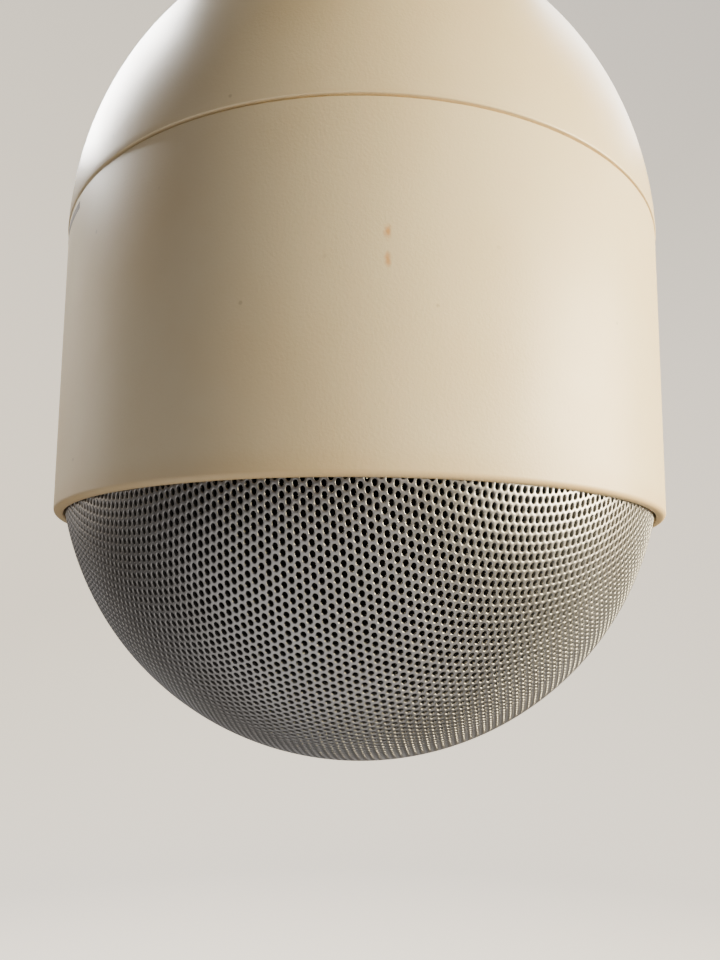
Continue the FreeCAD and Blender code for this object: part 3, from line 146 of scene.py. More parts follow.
@dataclass(frozen=True)
class Finish:
    """A material: its name, its colour and how it takes light."""

    name: str
    colour: str
    roughness: float
    ior: float = 1.5
    metallic: float = 0.0

    def build(self) -> bpy.types.Material:
        """Makes the material once, and returns the same one after that."""
        made = bpy.data.materials.get(self.name)
        if made is None:
            made = bpy.data.materials.new(self.name)
            made.use_nodes = True
            tree = made.node_tree
            shader = tree.nodes["Principled BSDF"]
            shader.inputs["Base Color"].default_value = linear(self.colour)
            shader.inputs["Roughness"].default_value = self.roughness
            shader.inputs["Metallic"].default_value = self.metallic
            if self.metallic < 1.0:
                shader.inputs["IOR"].default_value = self.ior
            place = add_node(tree, "TexCoord").outputs["Object"]
            self.detail(tree, shader, place)
        return made

    def detail(self, tree: Tree, shader: Node, place: Socket) -> None:
        """Adds the surface's own texture. A plain finish has a faint mottle only.

        Args:
            tree: The material's node tree.
            shader: Its principled shader.
            place: The point on the object, in metres.
        """
        self.mottle(tree, shader, place, self.colour, 0.85, grain_mm=2.5)

    def mottle(self, tree: Tree, shader: Node, place: Socket, second: str, mix: float, grain_mm: float) -> None:
        """Lets the colour wander between two tones.

        Args:
            tree: The material's node tree.
            shader: Its principled shader.
            place: The point on the object, in metres.
            second: The other tone, as sRGB hex.
            mix: Brightness of the other tone's darkest patches.
            grain_mm: Size of a patch.
        """
        cloud = noise(tree, place, 1 / (grain_mm * MM), 4.0)
        dark = [c * mix for c in linear(second)[:3]] + [1.0]
        tree.links.new(blended(tree, cloud, linear(self.colour), dark), shader.inputs["Base Color"])

    def bump(self, tree: Tree, shader: Node, height: Socket, depth_mm: float,
             strength: float = 1.0) -> None:
        """Raises the surface by a texture.

        Args:
            tree: The material's node tree.
            shader: Its principled shader.
            height: The texture's height, from 0 to 1.
            depth_mm: How deep the texture is.
            strength: How much of it shows.
        """
        lift = add_node(tree, "Bump", {"Height": height, "Distance": depth_mm * MM, "Strength": strength})
        tree.links.new(lift.outputs["Normal"], shader.inputs["Normal"])


@dataclass(frozen=True)
class Stain:
    """A faint brown run on the shell: where its middle is, and its half width and half height."""

    x: float
    y: float
    z: float
    half_width: float
    half_height: float


@dataclass(frozen=True)
class AgedAbs(Finish):
    """Injection-moulded ABS, yellowed by age. It looks soft and satin, warm near its edges, with faint dirt and a
    painted shade line along the seam groove.
    """

    # Colour of the yellowed patches and the rim bands, and of the painted shade along the seam groove.
    aged_and_seam_shade: str = "#C79F5A"
    rim_z: float = 0.0
    seam_z: float = 0.0
    stains: tuple[Stain, ...] = ()

    def band(self, tree: Tree, height: Socket, middle: float, reach: float,
             most: float) -> Socket:
        """A soft horizontal band round a height.

        Args:
            tree: The material's node tree.
            height: The point's Z socket.
            middle: Height of the band's strongest line.
            reach: Distance over which it fades.
            most: Its strength on that line.

        Returns:
            The band's strength, from 0 to most.
        """
        away = add_node(tree, "Math", {0: height, 1: middle}, operation="SUBTRACT")
        size = add_node(tree, "Math", {0: away.outputs[0]}, operation="ABSOLUTE")
        fade = ramp(tree, size.outputs[0], 0.0, reach, most, 0.0, interpolation_type="SMOOTHERSTEP")
        return fade

    def detail(self, tree: Tree, shader: Node, place: Socket) -> None:
        """Adds ageing, dirt, stains, browner bands at the rim, a painted shade line in the seam groove and the fine
        spark-eroded texture of the mould.
        """
        height = add_node(tree, "SeparateXYZ", {0: place}).outputs[2]
        cloud = noise(tree, place, 14.0, 5.0, 0.55)
        # Patches of 20 to 70 mm where the plastic has yellowed more.
        patch = ramp(tree, cloud, 0.38, 0.72, 0.0, 0.26)
        total = patch
        # Browner bands at the rim, and a faint painted shade along the seam groove where the dome meets the body.
        for middle, reach, most in ((self.rim_z, 9 * MM, 0.18), (self.rim_z, 2.0 * MM, 0.24),
                                    (self.seam_z, 2.0 * MM, 0.08)):
            ring = self.band(tree, height, middle, reach, most)
            total = add_node(tree, "Math", {0: total, 1: ring}, operation="ADD", use_clamp=True).outputs[0]
        tone = blended(tree, total, linear(self.colour), linear(self.aged_and_seam_shade))
        colour = tone
        for stain in self.stains:
            colour = self.stained(tree, place, colour, stain)
        # Dust and fly specks of about 0.5 mm, drawn as 0.8 mm so that they show.
        specks = add_node(tree, "TexVoronoi", {"Vector": place, "Scale": 110.0, "Randomness": 1.0})
        speck = ramp(tree, specks.outputs["Distance"], 0.035, 0.075, 0.30, 0.0)
        scatter = noise(tree, place, 60.0, 0.0)
        some = ramp(tree, scatter, 0.56, 0.62)
        shown = add_node(tree, "Math", {0: speck, 1: some}, operation="MULTIPLY")
        dirt = blended(tree, shown.outputs[0], colour, linear("#6E5A3C"))
        tree.links.new(dirt, shader.inputs["Base Color"])
        # The mould's spark-eroded grain is about 0.2 mm, drawn at 0.7 mm so that it shows.
        grain = noise(tree, place, 1 / (0.7 * MM), 2.0)
        wave = noise(tree, place, 1 / (45 * MM), 1.0)
        both = add_node(tree, "Math", {0: wave, 1: 9.0, 2: grain},
                        operation="MULTIPLY_ADD")
        self.bump(tree, shader, both.outputs[0], 0.035)
        sheen = ramp(tree, cloud, 0.3, 0.7, self.roughness - 0.05, self.roughness + 0.07)
        tree.links.new(sheen, shader.inputs["Roughness"])
        shader.inputs["Subsurface Weight"].default_value = 0.06
        shader.inputs["Subsurface Radius"].default_value = (0.004, 0.003, 0.002)
        shader.inputs["Subsurface Scale"].default_value = 1.0

    def stained(self, tree: Tree, place: Socket, colour: Socket,
                stain: Stain) -> Socket:
        """Lays one stain over the colour.

        Args:
            tree: The material's node tree.
            place: The point on the object, in metres.
            colour: The colour so far.
            stain: The stain's place and size.

        Returns:
            The colour with the stain on it.
        """
        squeeze = (1 / stain.half_width, 1 / stain.half_width, 1 / stain.half_height)
        offset = tuple(-v * s for v, s in zip((stain.x, stain.y, stain.z), squeeze))
        local = add_node(tree, "Mapping", {"Vector": place, "Location": offset, "Scale": squeeze})
        ragged = noise(tree, place, 900.0, 2.0)
        size = add_node(tree, "VectorMath", {0: local.outputs[0]}, operation="LENGTH")
        edge = add_node(tree, "Math", {0: ragged, 1: 0.9, 2: size.outputs["Value"]},
                        operation="MULTIPLY_ADD")
        fade = ramp(tree, edge.outputs[0], 0.55, 1.35, 0.72, 0.0)
        mixed = blended(tree, fade, colour, linear("#CB8C42"))
        return mixed


@dataclass(frozen=True)
class LacqueredSheet(Finish):
    """Perforated sheet steel under a thin grey lacquer: satin, with dust on it and brighter punched edges."""

    def detail(self, tree: Tree, shader: Node, place: Socket) -> None:
        """Adds faint dust, uneven lacquer and the fine rolling marks of the sheet."""
        cloud = noise(tree, place, 22.0, 4.0)
        tone = ramp(tree, cloud, 0.35, 0.7)
        mix = blended(tree, tone, linear(self.colour), linear("#96938F"))
        tree.links.new(mix, shader.inputs["Base Color"])
        grain = noise(tree, place, 1 / (0.8 * MM), 2.0)
        dull = ramp(tree, grain, 0.3, 0.7, self.roughness - 0.05, self.roughness + 0.08)
        tree.links.new(dull, shader.inputs["Roughness"])


@dataclass(frozen=True)
class Foam(Finish):
    """Open-cell polyurethane foam: dead matt, full of pores."""

    pore_mm: float = 0.9

    def detail(self, tree: Tree, shader: Node, place: Socket) -> None:
        """Adds the pores, real ones of about 0.6 mm drawn a little coarser, with painted shade in their hollows."""
        pores = add_node(tree, "TexVoronoi", {"Vector": place, "Scale": 1 / (self.pore_mm * MM)})
        self.bump(tree, shader, pores.outputs["Distance"], 0.4, 0.9)
        # Painted shade: the pores' hollows are painted near-black, darker than the foam itself.
        deep = ramp(tree, pores.outputs["Distance"], 0.1, 0.6)
        mix = blended(tree, deep, linear("#0B0A09"), linear(self.colour))
        tree.links.new(mix, shader.inputs["Base Color"])
        shader.inputs["Specular IOR Level"].default_value = 0.15


@dataclass(frozen=True)
class PlatedMetal(Finish):
    """Plated or bare metal, with the fine lines of its rolling or turning and dull patches from handling."""

    line_mm: float = 0.5

    def detail(self, tree: Tree, shader: Node, place: Socket) -> None:
        """Adds the lines, as stretched noise, and the patches."""
        stretch = add_node(tree, "Mapping", {"Vector": place, "Scale": (1.0, 1.0, 12.0)})
        lines = noise(tree, stretch.outputs[0], 0.12 / (self.line_mm * MM), 3.0)
        self.bump(tree, shader, lines, 0.02, 0.5)
        patch = noise(tree, place, 1 / (9 * MM), 3.0)
        dull = ramp(tree, patch, 0.3, 0.7, self.roughness - 0.08, self.roughness + 0.12)
        tree.links.new(dull, shader.inputs["Roughness"])
        self.mottle(tree, shader, place, self.colour, 0.72, grain_mm=7)


@dataclass(frozen=True)
class Moulded(Finish):
    """Moulded nylon, ABS or rubber in one colour, with a fine mould texture and a little dust."""

    grain_mm: float = 0.6
    dust: str = "#8A8478"

    def detail(self, tree: Tree, shader: Node, place: Socket) -> None:
        """Adds the mould texture and dust that lies in patches."""
        grain = noise(tree, place, 1 / (self.grain_mm * MM), 2.0)
        self.bump(tree, shader, grain, 0.05, 0.6)
        cloud = noise(tree, place, 1 / (12 * MM), 5.0)
        light = ramp(tree, cloud, 0.5, 0.75, 0.0, 0.10)
        mix = blended(tree, light, linear(self.colour), linear(self.dust))
        tree.links.new(mix, shader.inputs["Base Color"])


@dataclass(frozen=True)
class Stacked(Finish):
    """A varnished stack of laminations, or tape wound in turns: thin lines across one axis."""

    pitch_mm: float = 0.5
    axis: int = 1
    gap_colour: str = "#1C1A18"

    def detail(self, tree: Tree, shader: Node, place: Socket) -> None:
        """Adds the lines, at the thickness of one sheet or turn."""
        along = add_node(tree, "SeparateXYZ", {0: place}).outputs[self.axis]
        phase = add_node(tree, "Math", {0: along, 1: math.pi / (self.pitch_mm * MM)}, operation="MULTIPLY")
        wave = add_node(tree, "Math", {0: phase.outputs[0]}, operation="SINE")
        size = add_node(tree, "Math", {0: wave.outputs[0]}, operation="ABSOLUTE")
        sheet = ramp(tree, size.outputs[0], 0.1, 0.5)
        self.bump(tree, shader, sheet, 0.08, 0.8)
        mix = blended(tree, sheet, linear(self.gap_colour), linear(self.colour))
        tree.links.new(mix, shader.inputs["Base Color"])


@dataclass(frozen=True)
class Woven(Finish):
    """Woven or felted cloth: matt, with a soft sheen at grazing angles."""

    thread_mm: float = 0.7

    def detail(self, tree: Tree, shader: Node, place: Socket) -> None:
        """Adds threads in two directions, as one bump."""
        height: Socket | None = None
        for turn in (0.0, math.pi / 2):
            local = add_node(tree, "Mapping", {"Vector": place, "Rotation": (0.0, 0.0, turn)})
            wave = add_node(tree, "TexWave", {"Vector": local.outputs[0], "Scale": 0.3 / (self.thread_mm * MM),
                                              "Distortion": 1.5, "Detail": 1.0})
            if height is None:
                height = wave.outputs["Fac"]
            else:
                height = add_node(tree, "Math", {0: height, 1: wave.outputs["Fac"]}, operation="MAXIMUM").outputs[0]
        self.bump(tree, shader, height, 0.25, 0.8)
        self.mottle(tree, shader, place, self.colour, 0.6, grain_mm=3)
        shader.inputs["Sheen Weight"].default_value = 0.3


@dataclass(frozen=True)
class WallPaint(Finish):
    """Matt wall paint, lifted by the light that the rest of a pale room throws on it."""

    glow: float = 0.95

    def detail(self, tree: Tree, shader: Node, place: Socket) -> None:
        """Adds the even light of the room."""
        shader.inputs["Emission Color"].default_value = linear(self.colour)
        shader.inputs["Emission Strength"].default_value = self.glow


ZINC_PLATE = PlatedMetal("zinc_plated_steel", Metal.ZINC.value, 0.34, metallic=1.0)
SCREW_STEEL = PlatedMetal("zinc_plated_screw", Metal.SILVER.value, 0.28, metallic=1.0, line_mm=0.3)
TURNED_BRASS = PlatedMetal("turned_brass", Metal.BRASS.value, 0.30, metallic=1.0, line_mm=0.3)
ENAMELLED_COPPER = Stacked("enamelled_copper_wire", Metal.COPPER.value, 0.3, metallic=1.0, pitch_mm=0.4, axis=2)
FORMER_FOIL = PlatedMetal("aluminium_foil", Metal.ALUMINIUM.value, 0.25, metallic=1.0)
TINSEL_BRAID = PlatedMetal("tinsel_braid", Metal.COPPER.value, 0.45, metallic=1.0, line_mm=0.4)
FERRITE = Moulded("sintered_ferrite", "#2B2C2E", 0.62, ior=1.9, grain_mm=0.5)
BASKET_PAINT = Moulded("black_painted_steel", "#17181A", 0.42, grain_mm=1.2)
BLACK_NYLON = Moulded("moulded_black_nylon", "#1A1A1B", 0.48, ior=1.53)
NATURAL_NYLON = Moulded("moulded_natural_nylon", "#D8D4C4", 0.45, ior=1.53, dust="#7E7460")
BULKHEAD_ABS = Moulded("moulded_bulkhead_abs", "#B8AD90", 0.50, ior=1.54, dust="#7E7460")
BAFFLE_ABS = Moulded("moulded_black_abs", "#141414", 0.55, ior=1.54)
RUBBER = Moulded("vulcanised_rubber", "#161616", 0.72, ior=1.52, grain_mm=0.9)
PVC = Moulded("pvc_insulation", "#A8322A", 0.36, ior=1.54, grain_mm=1.5)
CAPACITOR_SLEEVE = Moulded("pvc_sleeve", "#1E2C5C", 0.28, ior=1.54, grain_mm=1.5)
PHENOLIC = Woven("phenolic_board", "#7A4A24", 0.45, thread_mm=0.5)
LAMINATIONS = Stacked("varnished_laminations", "#5B5854", 0.42, metallic=0.7, pitch_mm=0.5, axis=1)
WINDING_TAPE = Stacked("polyester_tape", "#C9A23A", 0.30, pitch_mm=9.0, axis=2, gap_colour="#8A6A1E")
PAPER_PULP = Woven("pressed_paper_pulp", "#26241F", 0.85, thread_mm=1.6)
SPIDER_CLOTH = Woven("resin_dipped_cotton", "#A9853F", 0.75, thread_mm=0.7)
WADDING = Woven("polyester_wadding", "#DCDBD4", 0.9, thread_mm=4.0)
BLACK_FOAM = Foam("open_cell_foam", "#2A2622", 0.97)
GRILLE_LACQUER = LacqueredSheet("lacquered_perforated_steel", "#ABAAA9", 0.34, metallic=0.92)
PRINT_INK = Moulded("pad_printing_ink", "#564A40", 0.5)

FINISH_OF_NODE: dict[str, Finish] = {
    "eye_washers": ZINC_PLATE, "eye_locknut": ZINC_PLATE, "suspension_yoke": ZINC_PLATE,
    "yoke_screws": SCREW_STEEL, "gland_body": BLACK_NYLON, "gland_seal": RUBBER, "gland_cap": BLACK_NYLON,
    "gland_locknut": BLACK_NYLON, "rear_bulkhead": BULKHEAD_ABS, "bulkhead_gasket": RUBBER,
    "bulkhead_screws": SCREW_STEEL, "lead_grommet": RUBBER, "transformer_core": LAMINATIONS,
    "transformer_bobbin": BLACK_NYLON, "transformer_winding": WINDING_TAPE, "transformer_bracket": ZINC_PLATE,
    "transformer_screws": SCREW_STEEL, "terminal_block": NATURAL_NYLON, "terminal_screws": TURNED_BRASS,
    "tap_switch_body": PHENOLIC, "tap_switch_nut": ZINC_PLATE, "tap_switch_shaft": TURNED_BRASS,
    "tap_knob": BLACK_NYLON, "capacitor": CAPACITOR_SLEEVE, "capacitor_clamp": ZINC_PLATE,
    "clamp_screw": SCREW_STEEL, "speaker_leads": PVC, "line_wires": PVC, "grille_retaining_ring": ZINC_PLATE,
    "baffle": BAFFLE_ABS, "baffle_screws": SCREW_STEEL, "driver_gasket": RUBBER, "driver_basket": BASKET_PAINT,
    "driver_screws": SCREW_STEEL, "magnet_top_plate": ZINC_PLATE, "magnet_ring": FERRITE,
    "magnet_back_plate": ZINC_PLATE, "driver_terminal_strip": PHENOLIC,
    "cone": PAPER_PULP, "dust_cap": PAPER_PULP,
    "voice_coil_former": FORMER_FOIL, "voice_coil_winding": ENAMELLED_COPPER,
}


# ---------------------------------------------------------------- mesh tools


def new_piece(name: str, verts: np.ndarray, faces: Sequence[Sequence[int]], finish: Finish) -> Piece:
    """Makes an object from points in metres and faces, in one finish.

    Args:
        name: The piece's name.
        verts: The points, one row each.
        faces: The corners of each face.
        finish: What the piece is made of.

    Returns:
        The new object, linked to the scene.
    """
    mesh = bpy.data.meshes.new(name)
    mesh.from_pydata(verts.tolist(), [], [list(f) for f in faces])
    mesh.materials.append(finish.build())
    piece = bpy.data.objects.new(name, mesh)
    bpy.context.scene.collection.objects.link(piece)
    return piece


def settle(piece: Piece, body: str, slot: str, *nodes: str) -> Piece:
    """Puts a piece on its body and hides the CAD nodes that it stands for."""
    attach(piece, body)
    if nodes:
        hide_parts(*nodes)
    LOG.info("%s: %d faces, on %s", piece.name, len(piece.data.polygons), body)
    return piece


def rounded(corners: Sequence[tuple[float, float, float]], steps: int = 5) -> list[Point]:
    """Rounds the corners of a closed outline.

    Args:
        corners: Radius, height and rounding of each corner, in millimetres.
        steps: How many points each round corner gets, less one.

    Returns:
        The outline's points, in millimetres.
    """
    outline: list[Point] = []
    count = len(corners)
    for i, (r, z, size) in enumerate(corners):
        here = np.array((r, z))
        if size <= 0:
            outline.append((r, z))
            continue
        back = np.array(corners[i - 1][:2]) - here
        ahead = np.array(corners[(i + 1) % count][:2]) - here
        reach_back, reach_ahead = np.linalg.norm(back), np.linalg.norm(ahead)
        back, ahead = back / reach_back, ahead / reach_ahead
        half = math.acos(float(np.clip(back @ ahead, -1, 1))) / 2
        reach = min(size / math.tan(half), 0.49 * reach_back, 0.49 * reach_ahead)
        radius = reach * math.tan(half)
        middle = (back + ahead) / np.linalg.norm(back + ahead)
        centre = here + middle * radius / math.sin(half)
        first, last = here + back * reach - centre, here + ahead * reach - centre
        turn = math.atan2(first[0] * last[1] - first[1] * last[0], first @ last)
        for k in range(steps + 1):
            a = turn * k / steps
            c, s = math.cos(a), math.sin(a)
            outline.append((centre[0] + c * first[0] - s * first[1], centre[1] + s * first[0] + c * first[1]))
    return outline


def lathe(name: str, outline: Sequence[Point], finish: Finish, segments: int = 288, sharp: float = 32.0,
          sweep: Point | None = None) -> Piece:
    """Turns a closed outline round the Z axis.

    Args:
        name: The piece's name.
        outline: Radius and height of each point, in millimetres.
        finish: What the piece is made of.
        segments: How many steps the turn has.
        sharp: Edges that turn by more than this many degrees stay sharp.
        sweep: First and last angle of a capped sector, or None for the whole turn.

    Returns:
        The new object, smooth-shaded.
    """
    if sweep is None:
        turns = np.linspace(0, 2 * math.pi, segments, endpoint=False)
    else:
        turns = np.linspace(*sweep, segments + 1)
    rows = len(turns)
    profile = np.array(outline) * MM
    r, z = profile[:, 0], profile[:, 1]
    verts = np.stack([np.outer(np.sin(turns), r), -np.outer(np.cos(turns), r), np.tile(z, (rows, 1))], axis=-1)
    size = len(outline)
    faces: list[tuple[int, ...]] = []
    for i in range(segments):
        after = (i + 1) % rows
        for j in range(size):
            k = (j + 1) % size
            faces.append((i * size + j, after * size + j, after * size + k, i * size + k))
    if sweep is not None:
        faces += [tuple(range(size)), tuple(reversed(range(segments * size, rows * size)))]
    piece = new_piece(name, verts.reshape(-1, 3), faces, finish)
    mesh = piece.data
    area = sum(outline[i][0] * outline[(i + 1) % size][1] - outline[(i + 1) % size][0] * outline[i][1]
               for i in range(size))
    if area < 0:
        mesh.flip_normals()
    mesh.shade_smooth()
    mesh.set_sharp_from_angle(angle=math.radians(sharp))
    return piece


# ---------------------------------------------------------------- shells


@dataclass
class Shells:
    """The moulded body and the dome cover that closes it. Sizes are in millimetres, heights from the rim."""

    rim_z: float
    seam_radius: float
    seam: float
    crown_edge: float
    rim_radius: float = 98.0
    wall: float = 2.8
    lip_round: float = 1.8
    groove_height: float = 0.7
    groove_depth: float = 1.2
    tongue_radius: float = 97.4
    tongue_height: float = 6.0
    tongue_thickness: float = 2.2
    shelf: tuple[float, float] = (74.5, 78.5)
    shelf_width: float = 10.0
    land: tuple[float, float] = (16.0, 20.0)
    land_width: float = 15.0
    dome_radius: float = 100.8
    dome_rise: float = 110.0
    dome_wall: float = 3.0
    opening: float = 33.0
    collar: float = 3.0
    stains: list[tuple[float, float, float, float]] = field(
        default_factory=lambda: [(3.2, 56.2, 1.3, 2.4), (3.2, 49.6, 1.2, 2.8)])

    def finish(self, name: str, stained: bool) -> AgedAbs:
        """The aged ABS of one shell, with or without the stains."""
        spots: list[Stain] = []
        if stained:
            for azimuth, height, half_width, half_height in self.stains:
                turn = math.radians(azimuth)
                radius = self.outside(height) * MM
                spots.append(Stain(radius * math.sin(turn), -radius * math.cos(turn), self.up(height),
                                   half_width * MM, half_height * MM))
        return AgedAbs(name, "#E1D1AF", 0.41 if stained else 0.34, ior=1.54, rim_z=self.up(0),
                       seam_z=self.up(self.seam), stains=tuple(spots))

    def up(self, height: float) -> float:
        """The frame's Z, in metres, of a height over the rim in millimetres."""
        return self.rim_z + height * MM

    def outside(self, height: float) -> float:
        """Outside radius of the body at a height."""
        return self.rim_radius + (self.seam_radius - self.rim_radius) * height / self.seam

    def placed(self, outline: Sequence[Point]) -> list[Point]:
        """The outline moved from heights over the rim to the frame's heights."""
        return [(r, z + self.rim_z / MM) for r, z in outline]

    def body(self) -> Piece:
        """The lower shell, with its lip, seam groove, tongue and inner shelves."""
        top = self.seam
        groove_bottom = top - self.groove_height
        floor = self.outside(groove_bottom) - self.groove_depth
        inner = self.tongue_radius - self.tongue_thickness
        shelf_low, shelf_high = self.shelf
        land_low, land_high = self.land
        mouth = self.rim_radius - self.wall
        corners = [
            (mouth, 0, 0.5), (self.rim_radius, 0, self.lip_round),
            (self.outside(groove_bottom), groove_bottom, 0.2), (floor, groove_bottom, 0.15),
            (floor, top, 0.0), (self.tongue_radius, top, 0.0),
            (self.tongue_radius, top + self.tongue_height, 0.5), (inner, top + self.tongue_height, 0.5),
            (inner, shelf_high, 0.3), (inner - self.shelf_width, shelf_high, 0.5),
            (inner - self.shelf_width, shelf_low, 0.5),
            (self.outside(shelf_low) - self.wall, shelf_low - self.shelf_width / 2, 0.5),
            (self.outside(land_high) - self.wall, land_high, 0.5), (mouth - self.land_width, land_high, 0.5),
            (mouth - self.land_width, land_low, 0.5), (mouth, land_low, 0.3),
        ]
        piece = lathe("body_shell", self.placed(rounded(corners)), self.finish("aged_abs_body", True))
        return settle(piece, "housing", "body_abs", "lower_shell")

    def dome(self) -> Piece:
        """The dome cover: a half-ellipsoid with a rounded edge, a crown opening and its collar."""
        outline: list[Point] = []
        edge = math.asin(self.opening / self.dome_radius)
        round_edge = 0.35
        steps = 72
        foot = math.asin(round_edge / self.dome_rise)
        for k in range(6):
            a = math.pi / 2 * k / 5
            outline.append((self.dome_radius - round_edge * (1 - math.sin(a)),
                            self.seam + round_edge * (1 - math.cos(a))))
        for k in range(1, steps + 1):
            a = foot + (math.pi / 2 - edge - foot) * k / steps
            outline.append((self.dome_radius * math.cos(a), self.seam + self.dome_rise * math.sin(a)))
        lip = outline.pop()
        outline += [(lip[0] + 0.45, lip[1] - 0.16), (lip[0] + 0.12, lip[1] - 0.12), (lip[0], lip[1] - 0.5)]
        collar_low = self.crown_edge - 8.0
        outline += [(self.opening, collar_low), (self.opening + self.collar, collar_low)]
        inner_radius, inner_rise = self.dome_radius - self.dome_wall, self.dome_rise - self.dome_wall
        start = math.acos((self.opening + self.collar) / inner_radius)
        for k in range(steps + 1):
            a = start * (1 - k / steps)
            outline.append((inner_radius * math.cos(a), self.seam + inner_rise * math.sin(a)))
        piece = lathe("dome_shell", self.placed(outline), self.finish("aged_abs_dome", False))
        return settle(piece, "cover", "cover_abs", "dome_cover")

    def printed_bar(self) -> Piece:
        """A plain printed rule under the seam, at the left of the body."""
        lift, steps = 0.04, 48
        first, last = math.radians(-84), math.radians(-55)
        low, high = self.seam - 4.9, self.seam - 2.6
        verts = []
        for k in range(steps + 1):
            a = first + (last - first) * k / steps
            for height in (low, high):
                for out in (0.0, lift):
                    radius = (self.outside(height) + out) * MM
                    verts.append((radius * math.sin(a), -radius * math.cos(a), self.up(height)))
        faces = []
        for k in range(steps):
            i, j = 4 * k, 4 * k + 4
            faces += [(i + 1, j + 1, j + 3, i + 3), (i, i + 2, j + 2, j), (i, j, j + 1, i + 1),
                      (i + 2, i + 3, j + 3, j + 2)]
        faces += [(0, 1, 3, 2), (4 * steps, 4 * steps + 2, 4 * steps + 3, 4 * steps + 1)]
        piece = new_piece("printed_bar", np.array(verts), faces, PRINT_INK)
        return settle(piece, "housing", "black_nylon")


# ---------------------------------------------------------------- grille


@dataclass
class Grille:
    """The perforated grille: flat sheet pressed into a ball, with a straight skirt. Sizes in millimetres."""

    rim_z: float
    radius: float
    drop: float
    skirt: float
    thickness: float = 1.0
    pitch: float = 2.42
    stretch: float = 1.5e-5
    hole: float = 0.335
    hole_sides: int = 10
    row_turn: float = -7.0
    sectors: int = 6
    blank_hem: float = 2.2
    flange_width: float = 10.0

    def __post_init__(self) -> None:
        """Works out the ball that the grille follows."""
        self.ball = (self.radius ** 2 + self.drop ** 2) / (2 * self.drop)
        self.centre = self.ball - self.drop
        self.rim_angle = math.acos(self.centre / self.ball)
        self.rim_arc = self.ball * self.rim_angle

    def arc_of(self, flat: np.ndarray) -> np.ndarray:
        """Distance along the pressed sheet for a flat distance in pitches. The press stretched it most outside."""
        return self.pitch * flat * (1 + self.stretch * flat ** 2)

    def reach(self) -> float:
        """The flat distance, in pitches, of the last row of holes."""
        limit = self.rim_arc + self.skirt - self.blank_hem
        flat = limit / self.pitch
        for _ in range(20):
            flat = limit / (self.pitch * (1 + self.stretch * flat ** 2))
        return flat

    def lift(self, flat: np.ndarray, depth: float) -> np.ndarray:
        """Takes flat points, in pitches, to the pressed sheet.

        Args:
            flat: Points on the flat sheet, one row each.
            depth: How far under the outer face they are.

        Returns:
            The points in the frame, in metres.
        """
        rho = np.linalg.norm(flat, axis=1)
        turn = np.arctan2(flat[:, 0], -flat[:, 1])
        arc = self.arc_of(rho)
        angle = np.minimum(arc / self.ball, self.rim_angle)
        over = np.maximum(arc - self.rim_arc, 0.0)
        # The ball meets the skirt in a soft bend, so the skirt's share of the normal grows over one bend.
        bend = np.clip((arc - self.rim_arc + 3.0) / 6.0, 0.0, 1.0)
        tilt = angle + (math.pi / 2 - self.rim_angle) * bend * bend * (3 - 2 * bend)
        r = self.ball * np.sin(angle) - depth * np.sin(tilt)
        z = self.centre - self.ball * np.cos(angle) + over + depth * np.cos(tilt)
        return np.stack([r * np.sin(turn), -r * np.cos(turn), z], axis=1) * MM + np.array((0, 0, self.rim_z))

    def cells(self) -> np.ndarray:
        """Flat centres of the holes, in pitches, in a hexagonal array."""
        most = self.reach()
        size = int(most * 1.2) + 2
        i, j = np.meshgrid(np.arange(-size, size + 1), np.arange(-size, size + 1))
        points = np.stack([(i + 0.5 * j).ravel(), (j * math.sqrt(3) / 2).ravel()], axis=1)
        # A row direction lies along the meridian at row_turn.
        a = math.radians(90 + self.row_turn)
        points = points @ np.array([[math.cos(a), math.sin(a)], [-math.sin(a), math.cos(a)]])
        return points[np.linalg.norm(points, axis=1) < most]

    def cell_rings(self) -> tuple[np.ndarray, np.ndarray]:
        """The hexagon and the hole of one cell, as flat offsets in pitches."""
        a = math.radians(90 + self.row_turn)
        corners = a + math.radians(30) + np.arange(6) * math.pi / 3
        hexagon = np.stack([np.cos(corners), np.sin(corners)], axis=1) / math.sqrt(3)
        sides = a + math.radians(30) + np.arange(self.hole_sides) * 2 * math.pi / self.hole_sides
        return hexagon, np.stack([np.cos(sides), np.sin(sides)], axis=1)

    def rings(self) -> list[tuple[np.ndarray, float, float]]:
        """The rings of points of one cell, from its outer hexagon through the hole to its inner hexagon.

        Returns:
            For each ring its flat offsets in pitches, its depth in the sheet and its share of the map's hole.
        """
        hexagon, circle = self.cell_rings()
        # The punch drew the sheet's edge into a round of about 0.2 mm on the outer side.
        return [
            (hexagon, 0.0, 1.0), (circle * (self.hole + 0.078), 0.0, 1.0), (circle * (self.hole + 0.030), 0.05, 0.95),
            (circle * self.hole, 0.20, 0.90), (circle * self.hole, self.thickness, 0.55),
            (hexagon, self.thickness, 1.0),
        ]

    def cell_faces(self) -> list[tuple[int, ...]]:
        """Faces of one cell, whose points are 6 hexagon corners, the hole's rings, then 6 corners inside."""
        n = self.hole_sides
        faces: list[tuple[int, ...]] = []
        count = len(self.rings()) - 2
        starts = [6 + n * k for k in range(count)]
        back_hex = 6 + n * count
        share = [round(k * n / 6) for k in range(7)]
        for k in range(6):
            after = (k + 1) % 6
            ring = [starts[0] + (m % n) for m in range(share[k], share[k + 1] + 1)]
            faces.append((k, after, *reversed(ring)))
            ring = [starts[-1] + (m % n) for m in range(share[k], share[k + 1] + 1)]
            faces.append((back_hex + after, back_hex + k, *ring))
        for upper, lower in zip(starts, starts[1:]):
            for m in range(n):
                after = (m + 1) % n
                faces.append((upper + m, upper + after, lower + after, lower + m))
        return faces

